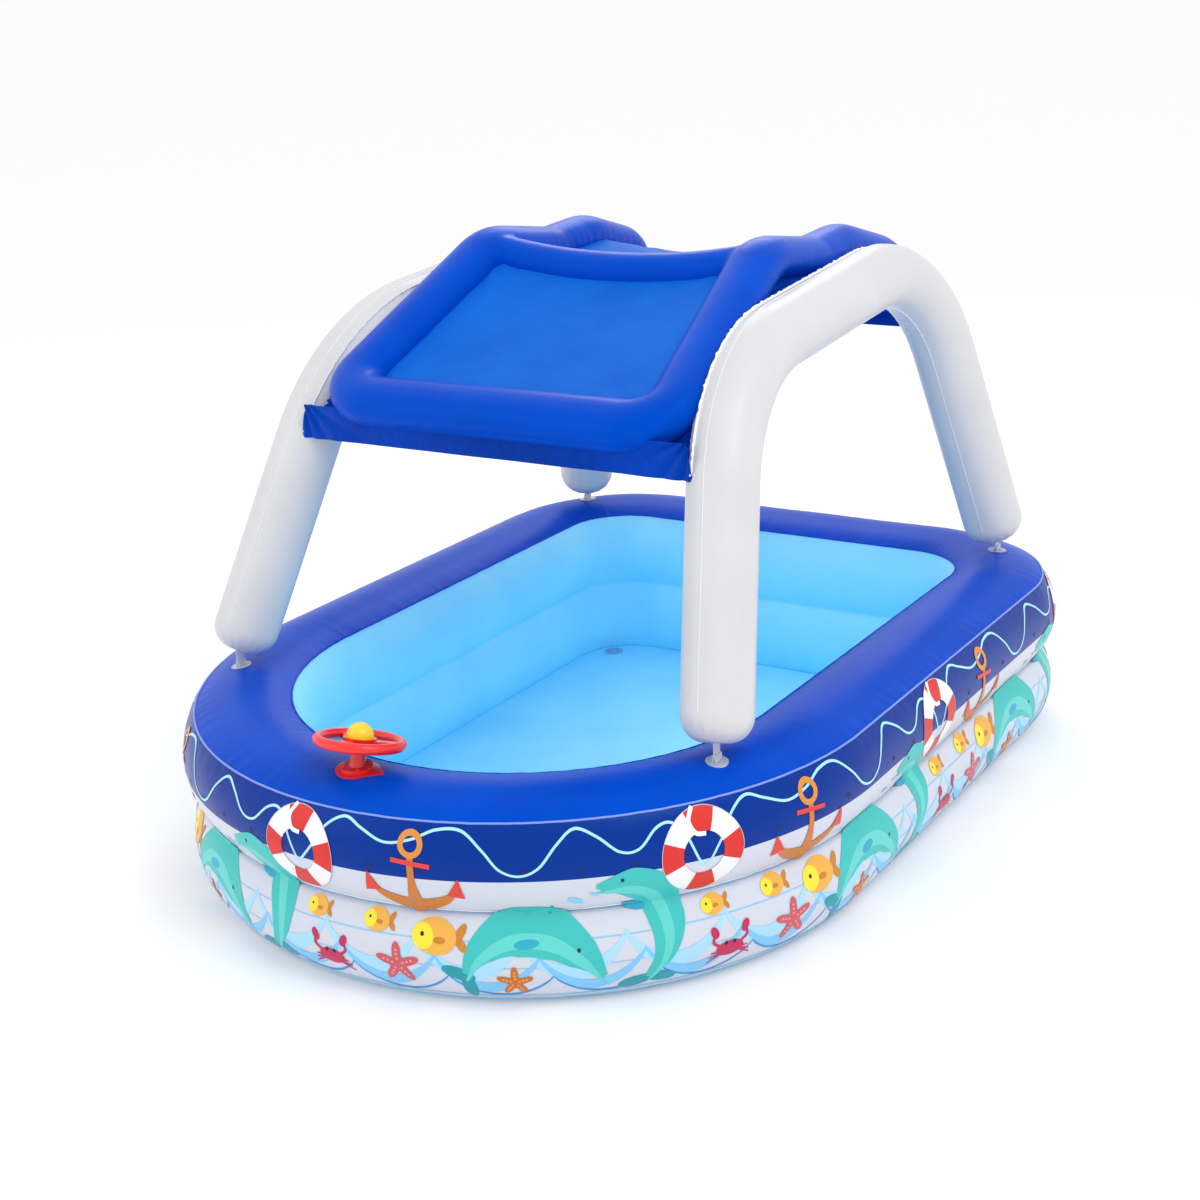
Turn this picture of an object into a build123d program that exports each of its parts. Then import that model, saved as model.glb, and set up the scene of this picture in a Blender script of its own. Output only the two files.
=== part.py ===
from build123d import *
from build123d.topology import SkipClean
import math
import os

# Inflatable paddling pool shaped like a small boat, with a blow-up sunshade and a toy steering wheel.
# Millimetres. +Z up, +X starboard, +Y towards the square stern, the round bow at -Y.
# The origin is on the ground, in the middle of the pool's plan.
# "Inset" is a distance inwards from the widest line of the pool, and "rise" is a height above the ground.
# "Reach" is a distance along the steering wheel's own tilted axis, from the crown of the rim.

# ---- overall sizes
POOL_LENGTH = 2130.0
POOL_WIDTH = 1550.0
STERN_CORNER = 393.0
RIM_RISE = 405.0
FILM = 2.0

# ---- section of the two air rings: insets and heights of their welds and of their bulges
TIER_RISE = 195.0
GROUND_WELD = 60.0
LOWER_BULGE = 10.0
OUTER_CREASE = 36.0
OUTER_TOP_WELD = 31.0
OUTER_TOP_DROP = 31.0
INNER_TOP_WELD = 237.0
INNER_TOP_DROP = 25.0
UPPER_INNER_BULGE = 275.0
INNER_CREASE = 250.0
LOWER_INNER_BULGE = 272.0
FLOOR_WELD = 238.0
BULGE_SHARE = 0.5
LOWER_BULGE_SHARE = 0.9

# ---- sunshade arches
ARCH_RADIUS = 71.0
ARCH_END_ROUND = 50.0
ARCH_LEAN = 10.5
FOOT_SIDE_INSET = 176.0
BOW_FOOT_INSET = 97.0
STERN_FOOT_INSET = 116.0
FOOT_GAP = 35.0
BOW_BEND_RISE = 1085.0
BOW_BEND_SETBACK = 310.0
STERN_BEND_RISE = 1156.0
STERN_BEND_SETBACK = 202.0
BOW_BEND_RADIUS = 395.0
STERN_BEND_RADIUS = 304.0

# ---- canopy: an air tube round two flat panels, laid between the arches
CANOPY_RADIUS = 50.0
RIDGE_RADIUS = 46.0
RAIL_WELD = 1.5
CANOPY_CORNER = 85.0
FRONT_TUBE_STAND_OFF = 61.0
FRONT_TUBE_RISE = 980.0
RIDGE_BACK = 394.0
RIDGE_RISE = 1226.0
DIP_BACK = 629.0
DIP_RISE = 1189.0
HUMP_BACK = 779.0
HUMP_RISE = 1197.0
SHOULDER_FORWARD = 85.0
SHOULDER_RISE = 1140.0
REAR_TUBE_RISE = 1036.0
REAR_TUBE_STAND_OFF = 89.0
RIDGE_STEPS = 400
RAIL_BENDS = [150.0, 150.0, 150.0, 115.0]
PANEL_TUCK = 22.7
HEM_FRONT_RISE = 895.0
HEM_REAR_RISE = 955.0
VALANCE_TUCK = 14.0
FRONT_HEM_FORWARD = 34.0
SEAM_LIFT = 0.5
FLANGE_REACH = 95.0

# ---- clear clips between rim and legs
CLIP_PAD_RADIUS = 22.0
EAR_THICK = 2.5
EAR_WIDTH = 24.0
EAR_RISE = 14.0
TONGUE_THICK = 3.0
TONGUE_WIDTH = 22.0
TONGUE_LIFT = 4.0
CLIP_CLEARANCE = 0.3

# ---- steering wheel
WHEEL_INSET = 140.0
WHEEL_TILT = 15.0
PATCH = 2.0
PATCH_ROUND = 42.0
PATCH_POINT = 62.0
BASE_RADIUS = 31.0
BASE_THICK = 5.0
BOSS_FOOT_RADIUS = 19.0
BOSS_TOP_RADIUS = 14.0
BOSS_TOP = 28.0
SPINDLE_RADIUS = 5.0
SPINDLE_FOOT = 10.0
COLLAR_RADIUS = 9.0
RUNNING_CLEARANCE = 0.05
FACE_CLEARANCE = 0.3
HUB_GAP = 3.0
HUB_FLOOR = 15.0
HUB_RADIUS = 32.0
HUB_TOP = 60.0
HUB_LIP = 3.0
WHEEL_REACH = 52.0
WHEEL_RADIUS = 90.5
GRIP_RADIUS = 10.5
SPOKES = 3
SPOKE_WIDTH = 24.0
SPOKE_THICK = 9.0
WEB_REACH = 46.0
WASHER_RADIUS = 11.0
WASHER_THICK = 1.5
SCREW_RADIUS = 2.0
SCREW_HEAD_RADIUS = 4.5
SCREW_HEAD = 3.0
SCREW_LENGTH = 14.0
RIVETS = 4
RIVET_CIRCLE = 25.0
RIVET_HEAD_RADIUS = 4.2
RIVET_HEAD = 3.0
RIVET_SHANK = 2.0

# ---- horn button in the wheel's hub
HORN_RADIUS = 26.6
HORN_WALL = 2.0
HORN_FLANGE = 2.0
HORN_FLANGE_THICK = 2.7
HORN_DOME_REACH = 62.0
SQUEAKER_RADIUS = 7.0
SQUEAKER_LENGTH = 9.0
SQUEAKER_SEAT = 5.0
SPRING_RADIUS = 15.0
SPRING_WIRE = 0.8
SPRING_TURNS = 5.0

# ---- air valves and drain
VALVE_RADIUS = 13.0
VALVE_THICK = 3.0
VALVE_NECK_RADIUS = 8.0
VALVE_NECK_DEPTH = 16.0
VALVE_BORE = 5.0
PLUG_HEAD_RADIUS = 8.0
PLUG_HEAD = 3.0
PLUG_STEM = 13.0
PLUG_TAB = 7.0
RING_VALVE_X = -250.0
UPPER_VALVE_RISE = 235.0
LOWER_VALVE_RISE = 140.0
ARCH_VALVE_BACK = 400.0
DRAIN_INSET_X = 302.0
DRAIN_INSET_Y = 320.0
DRAIN_RADIUS = 25.0
DRAIN_THICK = 3.0
DRAIN_BORE = 10.0
DRAIN_NECK = 4.0

# ---- places that follow from the sizes
HALF_WIDTH = POOL_WIDTH / 2
HALF_LENGTH = POOL_LENGTH / 2
BOW_Y = HALF_WIDTH - HALF_LENGTH
CORNER_X = HALF_WIDTH - STERN_CORNER
CORNER_Y = HALF_LENGTH - STERN_CORNER
OUTER_TOP_RISE = RIM_RISE - OUTER_TOP_DROP
INNER_TOP_RISE = RIM_RISE - INNER_TOP_DROP
FOOT_X = HALF_WIDTH - FOOT_SIDE_INSET
BOW_FOOT_Y = BOW_Y - math.sqrt((HALF_WIDTH - BOW_FOOT_INSET) ** 2 - FOOT_X ** 2)
STERN_FOOT_Y = CORNER_Y + math.sqrt((STERN_CORNER - STERN_FOOT_INSET) ** 2 - (FOOT_X - CORNER_X) ** 2)
LEAN = math.tan(math.radians(ARCH_LEAN))
RAIL_OFFSET = ARCH_RADIUS + CANOPY_RADIUS - RAIL_WELD
PANEL_HALF_WIDTH = FOOT_X - LEAN * (RIDGE_RISE - RIM_RISE) - RAIL_OFFSET + PANEL_TUCK
HUB_UNDERSIDE = BOSS_TOP + HUB_GAP
GRIP_CENTRE = WHEEL_RADIUS - GRIP_RADIUS
HUB_FLOOR_TOP = HUB_UNDERSIDE + HUB_FLOOR


# ---- pool: films carried round one outline

def circle_through(a, b, c):
    """Centre and radius of the circle through three points of a section."""
    bx, by = b[0] - a[0], b[1] - a[1]
    cx, cy = c[0] - a[0], c[1] - a[1]
    double_area = 2 * (bx * cy - by * cx)
    b_square, c_square = bx * bx + by * by, cx * cx + cy * cy
    x = (cy * b_square - by * c_square) / double_area
    y = (bx * c_square - cx * b_square) / double_area
    return (a[0] + x, a[1] + y), math.hypot(x, y)


def inset_at(centre, radius, rise, side):
    """Inset at which an arc of a section reaches a height, on the side -1 outside or +1 inside."""
    return centre[0] + side * math.sqrt(radius ** 2 - (rise - centre[1]) ** 2)


def wall_section(foot, bulge, top, side):
    """Film between two level welds, bulged by the air behind it."""
    centre, radius = circle_through(foot, bulge, top)
    edges = []
    for r in (radius, radius - FILM):
        low = (inset_at(centre, r, foot[1], side), foot[1])
        high = (inset_at(centre, r, top[1], side), top[1])
        middle = (centre[0] + side * r, centre[1])
        edges.append(ThreePointArc(low, middle, high))
    ends = [Line(edges[0] @ 0, edges[1] @ 0), Line(edges[0] @ 1, edges[1] @ 1)]
    return make_face(Curve() + edges + ends)


def rim_circle():
    """Arc of the rim's upper surface, from the outer top weld over the crown to the inner one."""
    outer = (OUTER_TOP_WELD, OUTER_TOP_RISE)
    inner = (INNER_TOP_WELD, INNER_TOP_RISE)
    crown = ((OUTER_TOP_WELD + INNER_TOP_WELD) / 2, RIM_RISE)
    return circle_through(outer, crown, inner)


def rim_arc(grow):
    """The rim's arc moved outwards by grow, between the heights of the two top welds."""
    centre, radius = rim_circle()
    r = radius + grow
    outer = (inset_at(centre, r, OUTER_TOP_RISE, -1), OUTER_TOP_RISE)
    inner = (inset_at(centre, r, INNER_TOP_RISE, 1), INNER_TOP_RISE)
    return ThreePointArc(outer, (centre[0], centre[1] + r), inner)


def rim_band(inside, outside):
    """Section between two copies of the rim's arc."""
    low, high = rim_arc(inside), rim_arc(outside)
    ends = [Line(low @ 0, high @ 0), Line(low @ 1, high @ 1)]
    return make_face(Curve() + [low, high] + ends)


def rim_filling(grow):
    """Section of everything under the rim's arc, used to cut what sits on the rim."""
    top = rim_arc(grow)
    left, right = top @ 0, top @ 1
    floor = TIER_RISE
    sides = Polyline((left.X, left.Y), (left.X, floor), (right.X, floor), (right.X, right.Y))
    return make_face(Curve() + [top, sides])


def carried_round(section):
    """Carry a section, drawn as (inset, rise), round the bow, both sides, both corners and the stern."""
    starboard = Plane((HALF_WIDTH, BOW_Y, 0), x_dir=(-1, 0, 0), z_dir=(0, 1, 0)) * section
    corner = Plane((HALF_WIDTH, CORNER_Y, 0), x_dir=(-1, 0, 0), z_dir=(0, 1, 0)) * section
    stern = Plane((CORNER_X, HALF_LENGTH, 0), x_dir=(0, -1, 0), z_dir=(-1, 0, 0)) * section
    port = Plane((-HALF_WIDTH, CORNER_Y, 0), x_dir=(1, 0, 0), z_dir=(0, -1, 0)) * section
    port_corner = Plane((-CORNER_X, HALF_LENGTH, 0), x_dir=(0, -1, 0), z_dir=(-1, 0, 0)) * section
    bow = Plane((-HALF_WIDTH, BOW_Y, 0), x_dir=(1, 0, 0), z_dir=(0, -1, 0)) * section
    runs = [
        extrude(starboard, CORNER_Y - BOW_Y),
        revolve(corner, Axis((CORNER_X, CORNER_Y, 0), (0, 0, 1)), 90),
        extrude(stern, 2 * CORNER_X),
        revolve(port_corner, Axis((-CORNER_X, CORNER_Y, 0), (0, 0, 1)), 90),
        extrude(port, CORNER_Y - BOW_Y),
        revolve(bow, Axis((0, BOW_Y, 0), (0, 0, 1)), 180),
    ]
    return runs[0].fuse(*runs[1:])


def outline_plate(inset, low, high):
    """Flat sheet with the pool's outline, moved inwards by inset, between two heights."""
    half, radius = HALF_WIDTH - inset, STERN_CORNER - inset
    back = HALF_LENGTH - inset
    lines = [
        ThreePointArc((-half, BOW_Y), (0, BOW_Y - half), (half, BOW_Y)),
        Line((half, BOW_Y), (half, CORNER_Y)),
        CenterArc((CORNER_X, CORNER_Y), radius, 0, 90),
        Line((CORNER_X, back), (-CORNER_X, back)),
        CenterArc((-CORNER_X, CORNER_Y), radius, 90, 90),
        Line((-half, CORNER_Y), (-half, BOW_Y)),
    ]
    face = make_face(Curve() + lines)
    return extrude(Plane((0, 0, low)) * face, high - low)


def middle_of(low, high):
    """Height of a bulge between two welds."""
    return low + BULGE_SHARE * (high - low)


def lower_outer_points():
    """Outer wall of the lower ring: floor weld, bulge and tier weld."""
    top = TIER_RISE - FILM / 2
    return (GROUND_WELD, FILM), (LOWER_BULGE, LOWER_BULGE_SHARE * middle_of(FILM, top)), (OUTER_CREASE, top)


def upper_outer_points():
    """Outer wall of the upper ring: tier weld, bulge and top weld."""
    low = TIER_RISE + FILM / 2
    return (OUTER_CREASE, low), (0, middle_of(low, OUTER_TOP_RISE)), (OUTER_TOP_WELD, OUTER_TOP_RISE)


def pool_films():
    """The seven films of the pool: two walls a ring, the sheet between them, the rim and the floor."""
    under, over = TIER_RISE - FILM / 2, TIER_RISE + FILM / 2
    upper_inner = (
        (INNER_CREASE, over), (UPPER_INNER_BULGE, middle_of(over, INNER_TOP_RISE)),
        (INNER_TOP_WELD, INNER_TOP_RISE),
    )
    lower_inner = (FLOOR_WELD, FILM), (LOWER_INNER_BULGE, middle_of(FILM, under)), (INNER_CREASE, under)
    partition = outline_plate(OUTER_CREASE, under, over) - outline_plate(INNER_CREASE, under, over)
    return {
        "floor_sheet": outline_plate(GROUND_WELD, 0, FILM),
        "lower_ring_outer_wall": carried_round(wall_section(*lower_outer_points(), -1)),
        "lower_ring_inner_wall": carried_round(wall_section(*lower_inner, 1)),
        "ring_partition": partition,
        "upper_ring_outer_wall": carried_round(wall_section(*upper_outer_points(), -1)),
        "upper_ring_inner_wall": carried_round(wall_section(*upper_inner, 1)),
        "rim_top_sheet": carried_round(rim_band(-FILM, 0)),
    }


# ---- valves: each sits on a plane whose Z axis points out of its chamber

def round_bar(radius, low, high):
    """Cylinder on the local Z axis between two heights."""
    return Pos(0, 0, low) * Cylinder(radius, high - low, align=(Align.CENTER, Align.CENTER, Align.MIN))


def valve_body():
    """Weld disc with a neck that stands into the chamber."""
    disc = round_bar(VALVE_RADIUS, -VALVE_THICK, 0)
    neck = round_bar(VALVE_NECK_RADIUS, -VALVE_NECK_DEPTH, 0)
    return disc + neck - round_bar(VALVE_BORE, -VALVE_NECK_DEPTH, 0)


def valve_plug():
    """Stopper with a low head and a finger tab."""
    stem = round_bar(VALVE_BORE - RUNNING_CLEARANCE, -PLUG_STEM, 0)
    head = round_bar(PLUG_HEAD_RADIUS, 0, PLUG_HEAD)
    tab = Pos(PLUG_HEAD_RADIUS, 0, PLUG_HEAD * 0.75) * Box(PLUG_TAB, PLUG_TAB, PLUG_HEAD / 2)
    return stem + head + tab


def drain_plane():
    """Inner face of the floor at the drain."""
    return Plane((DRAIN_INSET_X - HALF_WIDTH, HALF_LENGTH - DRAIN_INSET_Y, FILM))


def drain_body():
    """Flange on the floor with a short neck through it."""
    flange = round_bar(DRAIN_RADIUS, 0, DRAIN_THICK)
    neck = round_bar(DRAIN_BORE + DRAIN_NECK, -FILM, 0)
    return flange + neck - round_bar(DRAIN_BORE, -FILM, DRAIN_THICK)


def drain_plug():
    """Stopper of the drain."""
    stem = round_bar(DRAIN_BORE - RUNNING_CLEARANCE, 0, DRAIN_THICK)
    head = round_bar(DRAIN_BORE + DRAIN_NECK, DRAIN_THICK, DRAIN_THICK + PLUG_HEAD)
    tab_rise = DRAIN_THICK + PLUG_HEAD * 0.75
    tab = Pos(DRAIN_BORE + DRAIN_NECK, 0, tab_rise) * Box(PLUG_TAB, PLUG_TAB, PLUG_HEAD / 2)
    return stem + head + tab


def wall_plane(points, rise):
    """Plane square to a ring's outer wall on the stern, at a height."""
    centre, radius = circle_through(*points)
    inset = inset_at(centre, radius, rise, -1)
    out = Vector(0, centre[0] - inset, rise - centre[1])
    return Plane((RING_VALVE_X, HALF_LENGTH - inset, rise), x_dir=(1, 0, 0), z_dir=out)


# ---- sunshade arches

def arch_point(y, z):
    """Point of the starboard arch's leaning plane."""
    return Vector(FOOT_X - LEAN * (z - RIM_RISE), y, z)


def arch_normal():
    """Direction out of the arch's plane, away from the pool."""
    return Vector(math.cos(math.radians(ARCH_LEAN)), 0, math.sin(math.radians(ARCH_LEAN)))


def arch_corners():
    """Bow foot, two bends and stern foot of the arch's centre line."""
    return [
        arch_point(BOW_FOOT_Y, RIM_RISE),
        arch_point(BOW_FOOT_Y + BOW_BEND_SETBACK, BOW_BEND_RISE),
        arch_point(STERN_FOOT_Y - STERN_BEND_SETBACK, STERN_BEND_RISE),
        arch_point(STERN_FOOT_Y, RIM_RISE),
    ]


def leg_point(foot, bend, rise):
    """Point of a leg's centre line at a height."""
    share = (rise - foot.Z) / (bend.Z - foot.Z)
    return foot + (bend - foot) * share


def leg_tips():
    """Middle of each rounded leg end, bow then stern."""
    corners = arch_corners()
    rise = RIM_RISE + FOOT_GAP
    return leg_point(corners[0], corners[1], rise), leg_point(corners[3], corners[2], rise)


def arch_path():
    """Centre line of the arch between its two rounded ends."""
    corners = arch_corners()
    bow_tip, stern_tip = leg_tips()
    start = bow_tip + (corners[1] - bow_tip).normalized() * ARCH_END_ROUND
    end = stern_tip + (corners[2] - stern_tip).normalized() * ARCH_END_ROUND
    return FilletPolyline(start, corners[1], corners[2], end, radius=[BOW_BEND_RADIUS, STERN_BEND_RADIUS])


def end_profile(thick):
    """Half section of a rounded tube end, solid where thick is None."""
    flat = ARCH_RADIUS - ARCH_END_ROUND
    turn = math.sqrt(0.5)
    outer = ThreePointArc(
        (ARCH_RADIUS, 0), (flat + ARCH_END_ROUND * turn, -ARCH_END_ROUND * turn), (flat, -ARCH_END_ROUND)
    )
    if thick is None:
        rest = Polyline((flat, -ARCH_END_ROUND), (0, -ARCH_END_ROUND), (0, 0), (ARCH_RADIUS, 0))
        return make_face(Curve() + [outer, rest])
    r = ARCH_END_ROUND - thick
    inner = ThreePointArc((flat + r, 0), (flat + r * turn, -r * turn), (flat, -r))
    bottom = Polyline((flat, -ARCH_END_ROUND), (0, -ARCH_END_ROUND), (0, -r), (flat, -r))
    return make_face(Curve() + [outer, inner, bottom, Line((ARCH_RADIUS, 0), (flat + r, 0))])


def arch_end(place, thick, turn, angle):
    """Rounded end on a plane whose Z axis runs up the leg, revolved by angle from turn."""
    profile = Plane.XZ * end_profile(thick)
    return place * Rot(0, 0, turn) * revolve(profile, Axis.Z, angle)


def arch_end_planes():
    """Planes at both ends of the arch's path, Z axis along the leg, X axis out of the arch's plane."""
    path = arch_path()
    bow = Plane(path @ 0, x_dir=arch_normal(), z_dir=path % 0)
    stern = Plane(path @ 1, x_dir=arch_normal(), z_dir=-(path % 1))
    return bow, stern


def arch_sheet(side):
    """One of the arch's two welded sheets: side 1 away from the pool, -1 towards it."""
    ring = Circle(ARCH_RADIUS) - Circle(ARCH_RADIUS - FILM)
    half = ring & (Pos(side * ARCH_RADIUS, 0) * Rectangle(2 * ARCH_RADIUS, 2 * ARCH_RADIUS))
    bow, stern = arch_end_planes()
    tube = sweep(bow * half, arch_path())
    turn = -90 if side > 0 else 90
    return tube + arch_end(bow, FILM, turn, 180) + arch_end(stern, FILM, turn, 180)


def arch_outer_solid():
    """The starboard arch as a filled tube, used to cut what touches it."""
    bow, stern = arch_end_planes()
    tube = sweep(bow * Circle(ARCH_RADIUS), arch_path())
    return tube + arch_end(bow, None, 0, 360) + arch_end(stern, None, 0, 360)


def arch_valve_plane():
    """Inboard side of the arch's top run, a set distance behind its bow bend."""
    corners = arch_corners()
    run = (corners[2] - corners[1]).normalized()
    centre = corners[1] + run * ARCH_VALVE_BACK
    return Plane(centre - arch_normal() * ARCH_RADIUS, x_dir=run, z_dir=-arch_normal())


# ---- canopy

def stand_off(foot, bend, rise, distance):
    """Y of a point that stands a distance outside a leg's centre line, seen from the side."""
    on_leg = leg_point(foot, bend, rise)
    run = bend - foot
    across = math.hypot(run.Y, run.Z) / run.Z
    away = -1 if foot.Y < bend.Y else 1
    return on_leg.Y + away * distance * across


def rail_profile():
    """Side view of the canopy's rail: front tube, ridge, dip, hump, shoulder and rear tube."""
    corners = arch_corners()
    bend = corners[1].Y
    front = stand_off(corners[0], corners[1], FRONT_TUBE_RISE, FRONT_TUBE_STAND_OFF)
    rear = stand_off(corners[3], corners[2], REAR_TUBE_RISE, REAR_TUBE_STAND_OFF)
    return [
        (front, FRONT_TUBE_RISE), (bend + RIDGE_BACK, RIDGE_RISE), (bend + DIP_BACK, DIP_RISE),
        (bend + HUMP_BACK, HUMP_RISE), (rear - SHOULDER_FORWARD, SHOULDER_RISE), (rear, REAR_TUBE_RISE),
    ]


def rail_point(y, z):
    """Point of the starboard rail's centre line."""
    return arch_point(y, z) - Vector(RAIL_OFFSET, 0, 0)


def half_loop():
    """Starboard half of the canopy tube's centre line, from the middle of the bow end to the stern end."""
    profile = rail_profile()
    points = [Vector(0, *profile[0])] + [rail_point(*p) for p in profile] + [Vector(0, *profile[-1])]
    return FilletPolyline(*points, radius=[CANOPY_CORNER] + RAIL_BENDS + [CANOPY_CORNER])


def ridge_centre():
    """Point of the rail where the ridge tube joins it."""
    profile = rail_profile()
    path = half_loop()
    steps = [path @ (step / RIDGE_STEPS) for step in range(RIDGE_STEPS + 1)]
    return min(steps, key=lambda point: abs(point.Y - profile[1][0]))


def loop_solid(shrink):
    """Canopy tube and ridge tube, filled, with their radii reduced by shrink."""
    path = half_loop()
    start = Plane(path @ 0, z_dir=path % 0)
    half = sweep(start * Circle(CANOPY_RADIUS - shrink), path)
    ridge = ridge_centre()
    across = Plane((-ridge.X, ridge.Y, ridge.Z), x_dir=(0, 1, 0), z_dir=(1, 0, 0))
    tube = across * round_bar(RIDGE_RADIUS - shrink, 0, 2 * ridge.X)
    return half + mirror(half, Plane.YZ) + tube


def side_curve():
    """Side view of the middle of the canopy, run on past both end tubes."""
    profile = [Vector(0, *p) for p in rail_profile()]
    front = profile[0] + (profile[0] - profile[1]).normalized() * 4 * CANOPY_RADIUS
    rear = profile[-1] + (profile[-1] - profile[-2]).normalized() * 4 * CANOPY_RADIUS
    return FilletPolyline(front, *profile[1:-1], rear, radius=RAIL_BENDS)


def above_side_curve():
    """Block above the canopy's middle surface, which parts its upper sheet from its lower one."""
    curve = side_curve()
    front, rear = curve @ 0, curve @ 1
    top = RIDGE_RISE + 4 * CANOPY_RADIUS
    lid = Polyline(front, (0, front.Y, top), (0, rear.Y, top), rear)
    face = make_face(Curve() + [curve, lid])
    return Pos(0, 0, SEAM_LIFT) * extrude(face, HALF_WIDTH, both=True)


def panel_sheet(points, bends):
    """Thin panel along a side-view line between two tubes, before the tubes are cut out of it."""
    line = FilletPolyline(*points, radius=bends) if bends else Line(*points)
    start = Plane(line @ 0, x_dir=(1, 0, 0), z_dir=line % 0)
    return sweep(start * Rectangle(2 * PANEL_HALF_WIDTH, FILM), line)


def canopy_panels(frame):
    """Front and rear panels of single film inside the air tube."""
    profile = [Vector(0, *p) for p in rail_profile()]
    ridge = ridge_centre()
    ridge = Vector(0, ridge.Y, ridge.Z)
    return {
        "canopy_front_panel": panel_sheet([profile[0], ridge], None) - frame,
        "canopy_rear_panel": panel_sheet([ridge] + profile[2:], RAIL_BENDS[1:]) - frame,
    }


def offset_line(points, distance):
    """Corners of a side-view line moved away from the pool by distance, ends square to their runs."""
    moved = []
    for here, there in zip(points[:-1], points[1:]):
        run = (there - here).normalized()
        step = arch_normal().cross(run) * distance
        moved.append((here + step, there + step, run))
    corners = [moved[0][0]]
    for first, second in zip(moved[:-1], moved[1:]):
        half_turn = first[2].get_angle(second[2]) / 2
        corners.append(first[1] + first[2] * distance * math.tan(math.radians(half_turn)))
    return corners + [moved[-1][1]]


def below_hems():
    """Block under the sloping line that joins the front hem to the rear one."""
    face = make_face(Polyline(
        (0, -HALF_LENGTH, 0), (0, -HALF_LENGTH, HEM_FRONT_RISE), (0, BOW_FOOT_Y, HEM_FRONT_RISE),
        (0, STERN_FOOT_Y, HEM_REAR_RISE), (0, HALF_LENGTH, HEM_REAR_RISE), (0, HALF_LENGTH, 0), close=True,
    ))
    return extrude(face, HALF_WIDTH, both=True)


def side_flange(frame):
    """Strip of film from the arch's outer weld to the canopy's starboard rail."""
    corners = arch_corners()
    edges = []
    for distance in (ARCH_RADIUS, ARCH_RADIUS + FILM):
        bends = [BOW_BEND_RADIUS + distance, STERN_BEND_RADIUS + distance]
        edges.append(FilletPolyline(*offset_line(corners, distance), radius=bends))
    ends = [Line(edges[0] @ 0, edges[1] @ 0), Line(edges[0] @ 1, edges[1] @ 1)]
    strip = extrude(make_face(Curve() + edges + ends), FLANGE_REACH, dir=-arch_normal())
    return strip - frame - below_hems()


def valance(y, low, high, cutters):
    """Hanging strip of film under an end tube, from arch to arch."""
    width = 2 * arch_point(y, low).X - ARCH_RADIUS
    strip = Pos(0, y, (low + high) / 2) * Box(width, FILM, high - low)
    for cutter in cutters:
        strip = strip - cutter
    return strip


# ---- clips under the four legs

def rim_clip(tip, rim_skin, rim_core):
    """Pad welded to the rim with two ears that hold a leg's tongue."""
    shaft = Pos(tip.X, tip.Y, RIM_RISE) * Cylinder(CLIP_PAD_RADIUS, 4 * EAR_RISE)
    pad = rim_skin & shaft
    gap = TONGUE_THICK / 2 + CLIP_CLEARANCE + EAR_THICK / 2
    for side in (-1, 1):
        ear = Pos(tip.X + side * gap, tip.Y, RIM_RISE) * Box(EAR_THICK, EAR_WIDTH, 2 * EAR_RISE)
        pad = pad + (ear - rim_core)
    return pad


def leg_tongue(tip, arch):
    """Clear tab welded into a leg's end, hanging between the clip's ears."""
    low, high = RIM_RISE + TONGUE_LIFT, tip.Z + ARCH_END_ROUND
    tab = Pos(tip.X, tip.Y, (low + high) / 2) * Box(TONGUE_THICK, TONGUE_WIDTH, high - low)
    return tab - arch


# ---- steering wheel and horn, built on the wheel's tilted axis

def wheel_plane():
    """Foot of the wheel's axis on the crown of the rim."""
    tilt = math.radians(WHEEL_TILT)
    foot = (0, WHEEL_INSET - HALF_LENGTH, RIM_RISE)
    return Plane(foot, x_dir=(1, 0, 0), z_dir=(0, math.sin(tilt), math.cos(tilt)))


def wheel_patch(rim_skin):
    """Oval film patch with one pointed end, welded on the rim."""
    y = WHEEL_INSET - HALF_LENGTH
    oval = make_hull([Circle(PATCH_ROUND).edge(), (Pos(PATCH_POINT, 0) * Circle(PATCH)).edge()])
    prism = extrude(Plane((0, y, TIER_RISE)) * oval, RIM_RISE)
    return rim_skin & prism


def rivet_places():
    """Places of the rivets on the wheel's base, seen from above."""
    y = WHEEL_INSET - HALF_LENGTH
    middle = Pos(0, y, RIM_RISE + PATCH)
    return [middle * Rot(0, 0, 45 + 360 * k / RIVETS) * Pos(RIVET_CIRCLE, 0, 0) for k in range(RIVETS)]


def wheel_base(rim_core):
    """Moulded foot: a plate on the patch with a leaning boss that holds the spindle."""
    y = WHEEL_INSET - HALF_LENGTH
    plate = Pos(0, y, 0) * round_bar(BASE_RADIUS, TIER_RISE, RIM_RISE + PATCH + BASE_THICK)
    depth = 2 * SPINDLE_FOOT
    boss = Pos(0, 0, -depth) * Cone(
        BOSS_FOOT_RADIUS, BOSS_TOP_RADIUS, BOSS_TOP + depth, align=(Align.CENTER, Align.CENTER, Align.MIN)
    )
    bore = wheel_plane() * round_bar(SPINDLE_RADIUS, SPINDLE_FOOT, BOSS_TOP)
    body = plate + wheel_plane() * boss - rim_core - bore
    for place in rivet_places():
        body = body - place * round_bar(RIVET_SHANK, 0, BASE_THICK)
    return body


def base_rivets():
    """Domed rivets that hold the base to the patch."""
    ball = (RIVET_HEAD_RADIUS ** 2 + RIVET_HEAD ** 2) / (2 * RIVET_HEAD)
    head = Pos(0, 0, BASE_THICK + RIVET_HEAD - ball) * Sphere(ball)
    head = head & round_bar(RIVET_HEAD_RADIUS, BASE_THICK, BASE_THICK + RIVET_HEAD)
    rivet = head + round_bar(RIVET_SHANK, 0, BASE_THICK)
    return Compound(children=[place * rivet for place in rivet_places()])


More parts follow.
